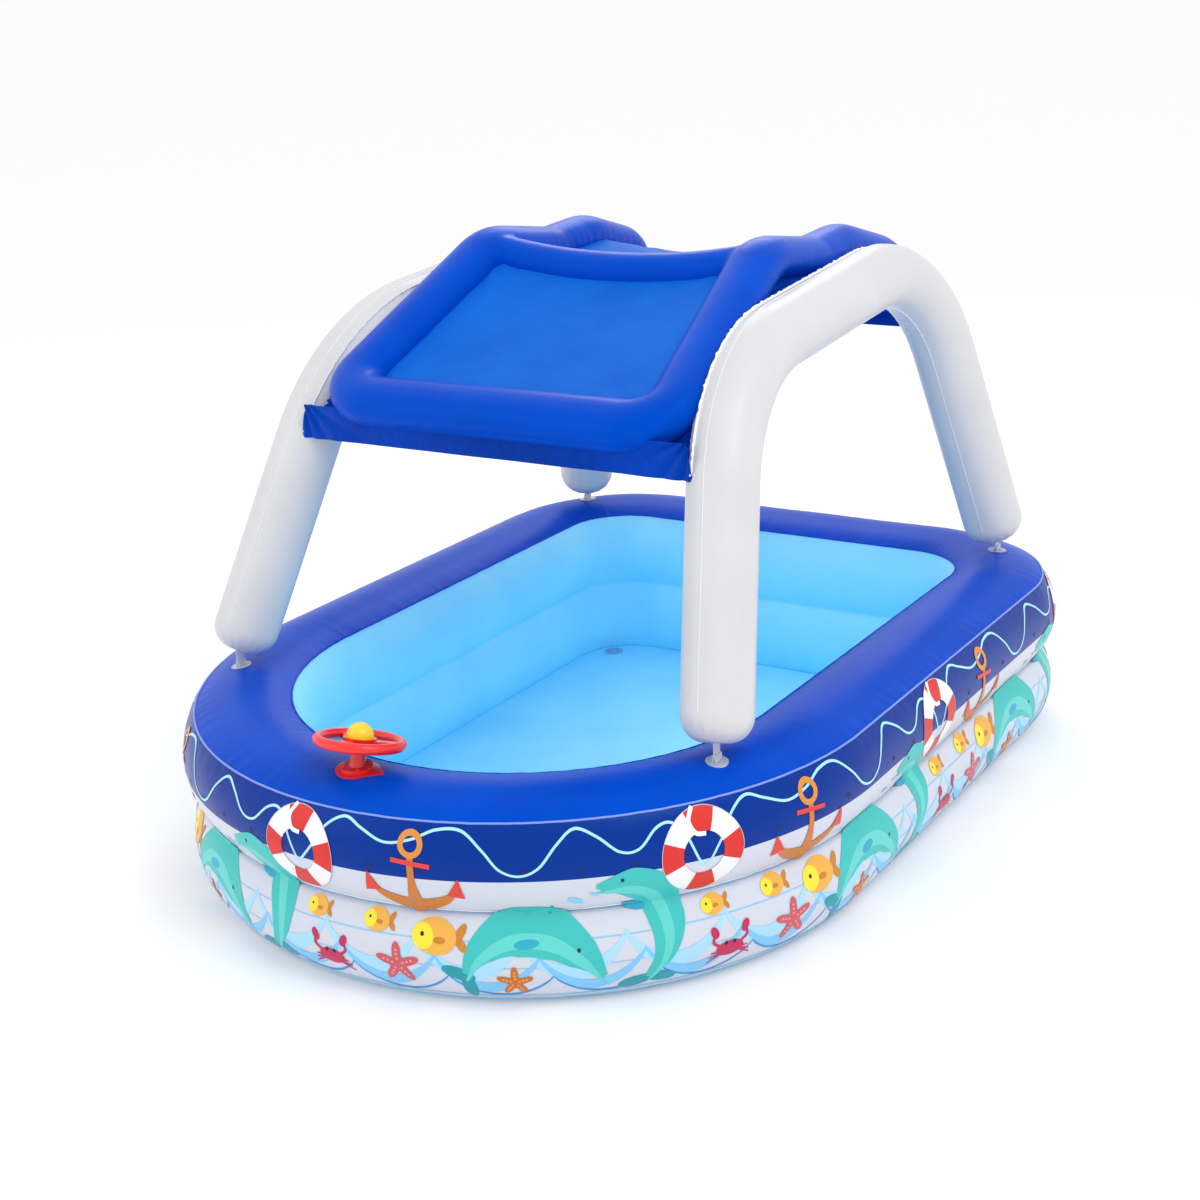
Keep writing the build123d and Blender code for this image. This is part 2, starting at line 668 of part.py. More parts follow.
def wheel_spindle():
    """Fixed pin with a collar that carries the wheel."""
    top = HUB_FLOOR_TOP + FACE_CLEARANCE
    pin = round_bar(SPINDLE_RADIUS, SPINDLE_FOOT, top)
    collar = round_bar(COLLAR_RADIUS, BOSS_TOP, HUB_UNDERSIDE - FACE_CLEARANCE)
    return pin + collar - round_bar(SCREW_RADIUS, top - SCREW_LENGTH, top)


def retaining_washer():
    """Washer that keeps the wheel on its spindle."""
    low = HUB_FLOOR_TOP + FACE_CLEARANCE
    return round_bar(WASHER_RADIUS, low, low + WASHER_THICK) - round_bar(SCREW_RADIUS, low, low + WASHER_THICK)


def retaining_screw():
    """Cross-head screw through the washer into the spindle."""
    top = HUB_FLOOR_TOP + FACE_CLEARANCE + WASHER_THICK
    shank = round_bar(SCREW_RADIUS, top - WASHER_THICK - SCREW_LENGTH, top)
    head = round_bar(SCREW_HEAD_RADIUS, top, top + SCREW_HEAD)
    slot = Box(SCREW_RADIUS * 2.5, SCREW_RADIUS / 2, SCREW_HEAD)
    slots = Pos(0, 0, top + SCREW_HEAD) * (slot + Rot(0, 0, 90) * slot)
    return shank + head - slots


def hub():
    """Cup in the middle of the wheel that holds the horn under an inturned lip."""
    flare = HUB_UNDERSIDE + HUB_RADIUS - COLLAR_RADIUS * 2
    profile = Polyline(
        (0, HUB_UNDERSIDE), (COLLAR_RADIUS * 2, HUB_UNDERSIDE), (HUB_RADIUS, flare),
        (HUB_RADIUS, HUB_TOP), (0, HUB_TOP), close=True,
    )
    body = revolve(make_face(Plane.XZ * profile), Axis.Z)
    lip = HORN_RADIUS + FACE_CLEARANCE
    pocket = round_bar(lip + HORN_FLANGE, HUB_FLOOR_TOP, HUB_TOP - HUB_LIP)
    mouth = round_bar(lip, HUB_TOP - HUB_LIP, HUB_TOP)
    bore = round_bar(SPINDLE_RADIUS + RUNNING_CLEARANCE, HUB_UNDERSIDE, HUB_FLOOR_TOP)
    return body - pocket - mouth - bore


def steering_wheel():
    """Grip ring, spokes and hub moulded in one piece."""
    grip = revolve(Plane.XZ * (Pos(GRIP_CENTRE, WHEEL_REACH) * Circle(GRIP_RADIUS)), Axis.Z)
    length = GRIP_CENTRE - HUB_RADIUS + SPOKE_THICK
    bar = Box(length, SPOKE_WIDTH, SPOKE_THICK)
    bar = fillet(bar.edges().filter_by(Axis.X), SPOKE_THICK / 3)
    bar = Pos(HUB_RADIUS + (length - SPOKE_THICK) / 2, 0, WHEEL_REACH) * bar
    hollow = round_bar(HORN_RADIUS + FACE_CLEARANCE + HORN_FLANGE, HUB_FLOOR_TOP, HUB_TOP - HUB_LIP)
    wheel = hub()
    # merging the faces of a closed ring turns it inside out, so its pieces are joined without that
    with SkipClean():
        for k in range(SPOKES):
            spoke = Rot(0, 0, -90 + 360 * k / SPOKES) * bar
            wheel = wheel + (spoke - hollow)
        wheel = wheel + grip
    return wheel


def wheel_web(wheel):
    """Thin coloured disc that closes the gap between hub and grip."""
    low, high = WEB_REACH - FILM / 2, WEB_REACH + FILM / 2
    disc = round_bar(GRIP_CENTRE, low, high) - round_bar(HUB_RADIUS, low, high)
    return disc - wheel


def horn_button():
    """Domed cap with a flange under the hub's lip and a seat for the squeaker."""
    low = HUB_TOP - HUB_LIP - FACE_CLEARANCE - HORN_FLANGE_THICK
    skirt = round_bar(HORN_RADIUS, low, HORN_DOME_REACH)
    flange = round_bar(HORN_RADIUS + HORN_FLANGE, low, low + HORN_FLANGE_THICK)
    dome = Pos(0, 0, HORN_DOME_REACH) * Sphere(HORN_RADIUS)
    inside = HORN_RADIUS - HORN_WALL
    hollow = round_bar(inside, low, HORN_DOME_REACH) + Pos(0, 0, HORN_DOME_REACH) * Sphere(inside)
    below = round_bar(2 * HORN_RADIUS, HORN_DOME_REACH - 2 * HORN_RADIUS, low)
    seat_top = HORN_DOME_REACH + HORN_RADIUS - HORN_WALL / 2
    seat = round_bar(SQUEAKER_RADIUS + HORN_WALL, HORN_DOME_REACH + inside - SQUEAKER_SEAT, seat_top)
    return skirt + flange + dome - hollow - below + seat


def horn_squeaker():
    """Reed capsule pushed against the button's seat."""
    top = HORN_DOME_REACH + HORN_RADIUS - HORN_WALL - SQUEAKER_SEAT
    air_hole = round_bar(SCREW_RADIUS, top - SQUEAKER_LENGTH, top)
    return round_bar(SQUEAKER_RADIUS, top - SQUEAKER_LENGTH, top) - air_hole


def horn_spring():
    """Coil spring from the hub's floor to the inside of the dome."""
    inside = HORN_RADIUS - HORN_WALL - SPRING_WIRE
    top = HORN_DOME_REACH + math.sqrt(inside ** 2 - (SPRING_RADIUS + SPRING_WIRE) ** 2)
    top -= SPRING_WIRE + FACE_CLEARANCE
    low = HUB_FLOOR_TOP + SPRING_WIRE
    height = top - low
    line = Pos(0, 0, low) * Helix(pitch=height / SPRING_TURNS, height=height, radius=SPRING_RADIUS)
    start = Plane(line @ 0, x_dir=(1, 0, 0), z_dir=line % 0)
    return sweep(start * Circle(SPRING_WIRE), line, is_frenet=True)


# ---- assembly

def pool_parts():
    """Films, ring valves and drain of the pool, with the holes that the valves sit in."""
    parts = pool_films()
    hole = round_bar(VALVE_RADIUS, -VALVE_NECK_DEPTH, VALVE_NECK_DEPTH)
    upper = wall_plane(upper_outer_points(), UPPER_VALVE_RISE)
    lower = wall_plane(lower_outer_points(), LOWER_VALVE_RISE)
    parts["upper_ring_outer_wall"] -= upper * hole
    parts["lower_ring_outer_wall"] -= lower * hole
    parts["floor_sheet"] -= drain_plane() * round_bar(DRAIN_BORE + DRAIN_NECK, -FILM, 0)
    for name, place in (("upper_ring", upper), ("lower_ring", lower)):
        parts[name + "_valve_body"] = place * valve_body()
        parts[name + "_plug"] = place * valve_plug()
    parts["drain_body"] = drain_plane() * drain_body()
    parts["drain_plug"] = drain_plane() * drain_plug()
    return parts


def sunshade_parts(rim_skin, rim_core):
    """Arches, canopy, flanges, valances, tongues and their clips on the rim."""
    parts = {}
    arch = arch_outer_solid()
    both = [arch, mirror(arch, Plane.YZ)]
    place = arch_valve_plane()
    hole = round_bar(VALVE_RADIUS, -VALVE_NECK_DEPTH, VALVE_NECK_DEPTH)
    inboard = arch_sheet(-1) - place * hole
    tips = dict(zip(("bow", "stern"), leg_tips()))
    frame = loop_solid(0)
    made = {
        "arch_outboard_sheet": arch_sheet(1),
        "arch_inboard_sheet": inboard,
        "arch_valve_body": place * valve_body(),
        "arch_plug": place * valve_plug(),
        "side_flange": side_flange(frame),
    }
    for end, tip in tips.items():
        made[end + "_leg_tongue"] = leg_tongue(tip, arch)
        made[end + "_rim_clip"] = rim_clip(tip, rim_skin, rim_core)
    for name, shape in made.items():
        parts["starboard_" + name] = shape
        parts["port_" + name] = mirror(shape, Plane.YZ)
    shell = frame - loop_solid(FILM)
    above = above_side_curve()
    ridge = ridge_centre()
    under = Plane((0, ridge.Y, ridge.Z - RIDGE_RADIUS), x_dir=(1, 0, 0), z_dir=(0, 0, -1))
    parts["canopy_top_sheet"] = shell & above
    parts["canopy_bottom_sheet"] = shell - above - under * hole
    parts["canopy_valve_body"] = under * valve_body()
    parts["canopy_plug"] = under * valve_plug()
    parts.update(canopy_panels(frame))
    profile = rail_profile()
    front, rear = profile[0], profile[-1]
    cutters = [frame, parts["starboard_side_flange"], parts["port_side_flange"]] + both
    parts["front_valance"] = valance(front[0] - FRONT_HEM_FORWARD, HEM_FRONT_RISE, front[1] - VALANCE_TUCK, cutters)
    parts["rear_valance"] = valance(rear[0] + VALANCE_TUCK, HEM_REAR_RISE, rear[1] - VALANCE_TUCK, cutters)
    return parts


def wheel_parts(rim_skin, rim_core):
    """Steering wheel, horn and what holds them to the rim."""
    place = wheel_plane()
    wheel = steering_wheel()
    return {
        "wheel_patch": wheel_patch(rim_skin),
        "wheel_base": wheel_base(rim_core),
        "base_rivets": base_rivets(),
        "wheel_spindle": place * wheel_spindle(),
        "retaining_washer": place * retaining_washer(),
        "retaining_screw": place * retaining_screw(),
        "steering_wheel": place * wheel,
        "wheel_web": place * wheel_web(wheel),
        "horn_button": place * horn_button(),
        "horn_squeaker": place * horn_squeaker(),
        "horn_spring": place * horn_spring(),
    }


def main():
    """Build every sub-part and write one STEP file for each."""
    os.makedirs("parts", exist_ok=True)
    rim_skin = carried_round(rim_band(0, PATCH))
    rim_core = carried_round(rim_filling(0))
    patch_core = carried_round(rim_filling(PATCH))
    parts = pool_parts()
    parts.update(sunshade_parts(rim_skin, rim_core))
    parts.update(wheel_parts(rim_skin, patch_core))
    for name, shape in parts.items():
        export_step(shape, "parts/" + name + ".step")


main()
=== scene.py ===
import math

import bmesh
import bpy
import numpy as np
from mathutils import Matrix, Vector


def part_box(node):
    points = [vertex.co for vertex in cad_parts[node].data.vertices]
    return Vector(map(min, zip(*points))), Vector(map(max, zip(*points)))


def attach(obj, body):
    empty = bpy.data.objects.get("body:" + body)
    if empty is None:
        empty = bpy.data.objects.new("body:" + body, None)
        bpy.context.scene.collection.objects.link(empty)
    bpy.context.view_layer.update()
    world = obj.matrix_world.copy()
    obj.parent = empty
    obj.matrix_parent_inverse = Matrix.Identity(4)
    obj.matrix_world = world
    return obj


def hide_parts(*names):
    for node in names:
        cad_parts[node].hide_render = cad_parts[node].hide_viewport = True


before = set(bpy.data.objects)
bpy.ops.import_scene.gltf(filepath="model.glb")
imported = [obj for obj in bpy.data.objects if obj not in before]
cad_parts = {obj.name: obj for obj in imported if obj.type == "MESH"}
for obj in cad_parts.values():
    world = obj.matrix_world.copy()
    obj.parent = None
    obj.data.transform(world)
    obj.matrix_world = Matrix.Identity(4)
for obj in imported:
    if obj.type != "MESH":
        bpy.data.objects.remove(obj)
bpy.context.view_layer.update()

bl_info = {
    "name": "Paddling pool boat looks",
    "version": (1, 0, 0),
    "blender": (4, 5, 0),
    "location": "View3D > Sidebar > Pool boat",
    "description": "Films, tubes, print and stage of an inflatable boat-shaped paddling pool with a sunshade",
    "category": "Object",
}

# Metres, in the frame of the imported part: +Z up, bow at -Y. Nodes called starboard are at +X.
# s runs along the pool's widest outline from the middle of the bow, round by starboard.
# An inset is a distance inwards from that outline.

# ---- sizes read from the frame
WALL_LOW, WALL_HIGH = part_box("upper_ring_outer_wall")
LOWER_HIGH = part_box("lower_ring_outer_wall")[1]
RIM_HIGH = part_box("rim_top_sheet")[1]
FLOOR_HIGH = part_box("floor_sheet")[1]
INNER_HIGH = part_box("upper_ring_inner_wall")[1]
FRONT_LOW, FRONT_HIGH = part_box("front_valance")
REAR_LOW, REAR_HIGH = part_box("rear_valance")

HALF_WIDTH = WALL_HIGH.x
HALF_LENGTH = WALL_HIGH.y
CORNER = 0.393  # radius of the stern corners
BOW_Y = HALF_WIDTH - HALF_LENGTH
CORNER_X, CORNER_Y = HALF_WIDTH - CORNER, HALF_LENGTH - CORNER
TIER = (WALL_LOW.z + LOWER_HIGH.z) / 2
OUTER_TOP = WALL_HIGH.z
INNER_TOP = INNER_HIGH.z
RIM_TOP = RIM_HIGH.z
FLOOR_TOP = FLOOR_HIGH.z
GROUND_INSET = HALF_WIDTH - FLOOR_HIGH.x
OUTER_TOP_INSET = HALF_WIDTH - RIM_HIGH.x
LOWER_BULGE = HALF_WIDTH - LOWER_HIGH.x
# insets of the welds, and of the walls where they bulge most
CREASE, INNER_WELD, INNER_BULGE, INNER_CREASE = 0.036, 0.237, 0.275, 0.250
LOWER_INNER_BULGE, FLOOR_WELD = 0.272, 0.238
LOWER_BULGE_SHARE = 0.9
BEADS = [  # inset, height, radius and finish of the bead along each weld
    (OUTER_TOP_INSET, OUTER_TOP, 0.0022, "weld"), (CREASE + 0.001, TIER, 0.0013, "white_weld"),
    (INNER_WELD, INNER_TOP, 0.0020, "rim_film"), (INNER_CREASE - 0.002, TIER, 0.0034, "pool_inner_film"),
]

# ---- arches: tube radius and end rounding, turn of the side film's weld, lean, feet, bends as (y, z, radius)
ARCH_R, ARCH_END = 0.071, 0.050
FILM_TURN = math.radians(24)
LEAN = math.radians(10.5)
FOOT_INSET, FOOT_LIFT = 0.176, 0.035
FOOT_X = HALF_WIDTH - FOOT_INSET
ARCH_NORMAL = np.array([math.cos(LEAN), 0, math.sin(LEAN)])
BOW_FOOT, STERN_FOOT = -0.6076, 0.8442
LEG_RISE = RIM_TOP + FOOT_LIFT
BENDS = [(BOW_FOOT + 0.310, 1.085, 0.395), (STERN_FOOT - 0.202, 1.156, 0.304)]

# ---- canopy: side view of its rails as (y, z), and how far they spread towards the arches as (y, distance)
TUBE_R, RIDGE_R, RAIL_OFFSET, TUBE_CORNER = 0.050, 0.046, 0.1195, 0.085
RAIL = [(-0.413, 0.980), (0.096, 1.226), (0.331, 1.189), (0.481, 1.197), (0.682, 1.140), (0.767, 1.036)]
RAIL_BENDS = [0.150, 0.150, 0.150, 0.115]
RIDGE_SAG, RIDGE_DROP, HEM_TUCK = 0.036, 0.010, 0.012
SKIN_VOXEL = 0.0055
TUBE_WIDE, TUBE_HIGH = 0.061, 0.048
RAIL_SPREAD = [(-0.413, 0.024), (0.096, 0.018), (0.25, 0.009), (0.331, 0.007), (0.767, 0.006)]

# ---- print on the outer wall
NAVY_FOOT = 0.272
REPEATS = 8
SHEET_THICK, WELD_THICK = 0.0008, 0.0009

# ---- stage: lights as (place, aim, size), camera as place and axes
FLOOR_REACH, FLOOR_DROP = 150, 0.0015
LIGHTS = {
    "key": ((3.2, -1.2, 4.6), (0, 0, 0.4), 2.6),
    "fill": ((-2.8, -4.2, 2.6), (0, 0, 0.5), 3.0),
    "back": ((-1.6, 3.6, 3.4), (0, 0, 0.8), 2.0),
}
CAMERA_PLACE = (2.245, -3.535, 1.876)
CAMERA_AXES = (0.8364, 0.5455, -0.0525), (-0.1211, 0.2775, 0.9531), (0.5345, -0.7908, 0.2981)
SENSOR_MM, LENS_MM, LENS_SHIFT = 36.0, 58.59, (0.0366, -0.0381)


# ---------------------------------------------------------------- curves

def outline_lengths():
    """Arc lengths from the bow to the side, the corner, the stern and the stern's middle."""
    side = HALF_WIDTH * math.pi / 2
    corner = side + CORNER_Y - BOW_Y
    stern = corner + CORNER * math.pi / 2
    return side, corner, stern, stern + CORNER_X


PERIMETER = 2 * outline_lengths()[3]
REPEAT = PERIMETER / REPEATS


def outline(s):
    """Plan point and inward unit normal at arc length s.

    Bow half circle, side, corner quarter circle and half the stern, then the same mirrored.
    """
    side, corner, stern, half = outline_lengths()
    s = np.mod(s, PERIMETER)
    sign = np.where(s <= half, 1.0, -1.0)
    h = np.where(s <= half, s, PERIMETER - s)
    a = h / HALF_WIDTH - math.pi / 2
    t = (h - corner) / CORNER
    zone = [h < side, h < corner, h < stern]
    across = [HALF_WIDTH * np.cos(a), HALF_WIDTH + 0 * h, CORNER_X + CORNER * np.cos(t)]
    along = [BOW_Y + HALF_WIDTH * np.sin(a), BOW_Y + h - side, CORNER_Y + CORNER * np.sin(t)]
    x = np.select(zone, across, stern + CORNER_X - h)
    y = np.select(zone, along, HALF_LENGTH)
    nx = np.select(zone, [-np.cos(a), -1.0 + 0 * h, -np.cos(t)], 0.0)
    ny = np.select(zone, [-np.sin(a), 0 * h, -np.sin(t)], -1.0)
    return np.stack([x * sign, y], -1), np.stack([nx * sign, ny], -1)


def circle(a, b, c):
    """Centre and radius of the circle through three section points."""
    a, b, c = (np.array(p, float) for p in (a, b, c))
    u, v = b - a, c - a
    d = 2 * (u[0] * v[1] - u[1] * v[0])
    uu, vv = u @ u, v @ v
    shift = np.array([v[1] * uu - u[1] * vv, u[0] * vv - v[0] * uu]) / d
    return a + shift, float(np.hypot(*shift))


def arc(a, b, c, count):
    """Points from a through b to c along one circle."""
    middle, radius = circle(a, b, c)
    angle = [math.atan2(p[1] - middle[1], p[0] - middle[0]) for p in (a, b, c)]
    turn = np.unwrap(angle)
    t = np.linspace(turn[0], turn[2], count)
    return middle + radius * np.stack([np.cos(t), np.sin(t)], -1)


UPPER_OUTER = ((CREASE, TIER), (0, (TIER + OUTER_TOP) / 2), (OUTER_TOP_INSET, OUTER_TOP))
LOWER_BULGE_Z = LOWER_BULGE_SHARE * (FLOOR_TOP + TIER) / 2
LOWER_OUTER = ((GROUND_INSET, FLOOR_TOP), (LOWER_BULGE, LOWER_BULGE_Z), (CREASE, TIER))
RIM_MIDDLE = (OUTER_TOP_INSET + INNER_WELD) / 2
RIM_ARC = ((OUTER_TOP_INSET, OUTER_TOP), (RIM_MIDDLE, RIM_TOP), (INNER_WELD, INNER_TOP))
UPPER_INNER = ((INNER_WELD, INNER_TOP), (INNER_BULGE, (INNER_TOP + TIER) / 2), (INNER_CREASE, TIER))
LOWER_INNER = ((INNER_CREASE, TIER), (LOWER_INNER_BULGE, (TIER + FLOOR_TOP) / 2), (FLOOR_WELD, FLOOR_TOP))


def ripple(run, length, shortest, longest, seed):
    """Sum of seven cosines of a run, each a whole number of waves in length, scaled to stay within 1."""
    rng = np.random.default_rng(seed)
    counts = np.round(length / rng.uniform(shortest, longest, 7))
    phases = rng.uniform(0, 2 * math.pi, 7)
    sizes = rng.uniform(0.4, 1.0, 7)
    waves = sizes * np.cos(2 * math.pi * counts * np.asarray(run)[..., None] / length + phases)
    return waves.sum(-1) / sizes.sum()


def resample(points, step, closed=False):
    """Points an even distance apart along a line."""
    if closed:
        points = np.concatenate([points, points[:1]])
    run = np.concatenate([[0], np.cumsum(np.linalg.norm(np.diff(points, axis=0), axis=1))])
    count = max(2, int(round(run[-1] / step)))
    at = np.linspace(0, run[-1], count, endpoint=False) if closed else np.linspace(0, run[-1], count + 1)
    return np.stack([np.interp(at, run, points[:, k]) for k in range(points.shape[1])], -1)


def rounded_line(corners, radii, step=0.006):
    """Straight runs between corners, joined by arcs tangent to both, and resampled evenly."""
    corners = [np.array(c, float) for c in corners]
    parts = [corners[0][None]]
    for before, here, after, radius in zip(corners[:-2], corners[1:-1], corners[2:], radii):
        u = (before - here) / np.linalg.norm(before - here)
        v = (after - here) / np.linalg.norm(after - here)
        half = math.acos(float(np.clip(u @ v, -1, 1))) / 2
        middle = here + (u + v) / np.linalg.norm(u + v) * radius / math.sin(half)
        start = here + u * radius / math.tan(half) - middle
        end = here + v * radius / math.tan(half) - middle
        sweep = math.pi - 2 * half
        t = np.linspace(0, 1, 40)[:, None]
        parts.append(middle + (np.sin((1 - t) * sweep) * start + np.sin(t * sweep) * end) / math.sin(sweep))
    parts.append(corners[-1][None])
    return resample(np.concatenate(parts), step)


def tangents(points, closed=False):
    """Unit direction of a line at each of its points."""
    if closed:
        d = np.roll(points, -1, 0) - np.roll(points, 1, 0)
    else:
        d = np.gradient(points, axis=0)
    return d / np.linalg.norm(d, axis=1, keepdims=True)


def lengths(points):
    """Distance along a line at each of its points."""
    return np.concatenate([[0], np.cumsum(np.linalg.norm(np.diff(points, axis=0), axis=1))])


# ---------------------------------------------------------------- meshes

def link_mesh(name, vertices, faces, materials, corner_uv=None, face_material=None):
    """New smooth-shaded object at the origin, from whole arrays of vertices and four-cornered faces."""
    mesh = bpy.data.meshes.new(name)
    mesh.from_pydata(vertices.reshape(-1, 3).tolist(), [], faces.tolist())
    for material in materials:
        mesh.materials.append(material)
    if corner_uv is not None:
        layer = mesh.uv_layers.new(name="run")
        layer.data.foreach_set("uv", corner_uv.astype(np.float32).ravel())
    if face_material is not None:
        mesh.polygons.foreach_set("material_index", face_material.astype(np.int32))
    mesh.polygons.foreach_set("use_smooth", np.ones(len(mesh.polygons), bool))
    mesh.update()
    made = bpy.data.objects.new(name, mesh)
    bpy.context.scene.collection.objects.link(made)
    return made


def grid_faces(rows, columns, wrap_rows, wrap_columns):
    """Corner numbers of every quad of a grid of points, and each quad's column."""
    i = np.arange(rows if wrap_rows else rows - 1)[:, None]
    j = np.arange(columns if wrap_columns else columns - 1)[None, :]
    i2, j2 = (i + 1) % rows, (j + 1) % columns
    faces = np.stack([i * columns + j, i2 * columns + j, i2 * columns + j2, i * columns + j2], -1)
    steps = ((0, 0), (1, 0), (1, 1), (0, 1))
    corner = np.stack([np.stack(np.broadcast_arrays(i + a, j + b), -1) for a, b in steps], 2)
    return faces.reshape(-1, 4), corner.reshape(-1, 2), np.broadcast_to(j, faces.shape[:2]).ravel()


def grid_object(name, points, materials, wrap_rows=False, wrap_columns=False, bands=None):
    """Object from a grid of points; its UV counts metres along the first row and column."""
    rows, columns = points.shape[:2]
    faces, corner, column = grid_faces(rows, columns, wrap_rows, wrap_columns)
    middle = columns // 2
    row_run = lengths(np.concatenate([points[:, middle], points[:1, middle]]))
    column_run = lengths(np.concatenate([points[rows // 2], points[rows // 2, :1]]))
    uv = np.stack([row_run[corner[:, 0]], column_run[corner[:, 1]]], -1)
    index = None if bands is None else np.asarray(bands)[column]
    return link_mesh(name, points, faces, materials, uv, index)


def weld_doubles(made):
    """Joins vertices that lie on each other, such as at a tube's poles."""
    shape = bmesh.new()
    shape.from_mesh(made.data)
    bmesh.ops.remove_doubles(shape, verts=shape.verts, dist=1e-5)
    shape.to_mesh(made.data)
    shape.free()
    return made


def thicken(made, thick=SHEET_THICK):
    """Gives a sheet its film thickness, half to each side."""
    solid = made.modifiers.new("film_thickness", "SOLIDIFY")
    solid.thickness = thick
    solid.offset = 0
    return made


def settle(made, body, slot_name, *nodes):
    """Ties a finished piece to its body and hides the CAD nodes it stands for; its record slot is not used.
    """
    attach(made, body)
    if nodes:
        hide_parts(*nodes)
    return made


# ---------------------------------------------------------------- materials

def colour(code):
    """sRGB hex colour as linear red, green, blue and alpha."""
    values = np.array([int(code[k:k + 2], 16) / 255 for k in (1, 3, 5)])
    linear = np.where(values <= 0.04045, values / 12.92, ((values + 0.055) / 1.055) ** 2.4)
    return (*linear.tolist(), 1.0)


def add_node(tree, kind, settings=None, inputs=None):
    """New shader node with its own settings and its constant or linked inputs."""
    node = tree.nodes.new(kind)
    for key, value in (settings or {}).items():
        setattr(node, key, value)
    for key, value in (inputs or {}).items():
        if isinstance(value, bpy.types.NodeSocket):
            tree.links.new(value, node.inputs[key])
        else:
            node.inputs[key].default_value = value
    return node


def millimetres(tree):
    """Object coordinates counted in millimetres."""
    place = add_node(tree, "ShaderNodeTexCoord")
    scale = add_node(tree, "ShaderNodeMapping", inputs={
        "Vector": place.outputs["Object"], "Scale": (1000, 1000, 1000)})
    return scale.outputs["Vector"]


def film_relief(tree, grain, grain_depth, drift, drift_depth):
    """Bump of a calendered film: fine grain on slow unevenness, sizes and depths in millimetres."""
    place = millimetres(tree)
    slow = add_node(tree, "ShaderNodeTexNoise", inputs={"Vector": place, "Scale": 1 / drift, "Detail": 2.0})
    fine = add_node(tree, "ShaderNodeTexNoise", inputs={"Vector": place, "Scale": 1 / grain, "Detail": 3.0})
    low = add_node(tree, "ShaderNodeBump", inputs={
        "Height": slow.outputs["Fac"], "Distance": drift_depth / 1000, "Strength": 1.0})
    both = add_node(tree, "ShaderNodeBump", inputs={
        "Height": fine.outputs["Fac"], "Distance": grain_depth / 1000, "Strength": 1.0,
        "Normal": low.outputs["Normal"]})
    return both.outputs["Normal"]


def tint(tree, low, high, size):
    """Colour that drifts between two close shades over patches of a size in millimetres."""
    noise = add_node(tree, "ShaderNodeTexNoise", inputs={
        "Vector": millimetres(tree), "Scale": 1 / size, "Detail": 3.0})
    ramp = add_node(tree, "ShaderNodeValToRGB", inputs={"Fac": noise.outputs["Fac"]})
    for stop, place, shade in zip(ramp.color_ramp.elements, (0.3, 0.7), (low, high)):
        stop.position, stop.color = place, colour(shade)
    return ramp.outputs["Color"]


TINT_PATCH_MM = 180


def surface(name, base, roughness, relief=(0.6, 0.02, 45, 0.5), low=None, **extra):
    """Principled material; extra names its further sockets."""
    material = bpy.data.materials.new(name)
    material.use_nodes = True
    tree = material.node_tree
    shader = tree.nodes["Principled BSDF"]
    if callable(base):
        tree.links.new(base(tree), shader.inputs["Base Color"])
    elif low is None:
        shader.inputs["Base Color"].default_value = colour(base)
    else:
        tree.links.new(tint(tree, low, base, TINT_PATCH_MM), shader.inputs["Base Color"])
    shader.inputs["Roughness"].default_value = roughness
    if relief:
        tree.links.new(film_relief(tree, *relief), shader.inputs["Normal"])
    for key, value in extra.items():
        shader.inputs[key.replace("_", " ")].default_value = value
    return material


def print_bands(tree):
    """White film printed navy above a level line, by height."""
    place = add_node(tree, "ShaderNodeTexCoord")
    height = add_node(tree, "ShaderNodeSeparateXYZ", inputs={"Vector": place.outputs["Object"]})
    above = add_node(tree, "ShaderNodeMath", {"operation": "GREATER_THAN"}, {
        0: height.outputs["Z"], 1: NAVY_FOOT})
    mix = add_node(tree, "ShaderNodeMix", {"data_type": "RGBA"}, {
        0: above.outputs[0], 7: colour("#003090"), 6: colour("#D2D6E2")})
    return mix.outputs[2]


def ink_colour(tree):
    """Colour of the printed ink, carried by each motif's own vertices."""
    return add_node(tree, "ShaderNodeAttribute", {"attribute_name": "ink"}).outputs["Color"]


FINISH = {}


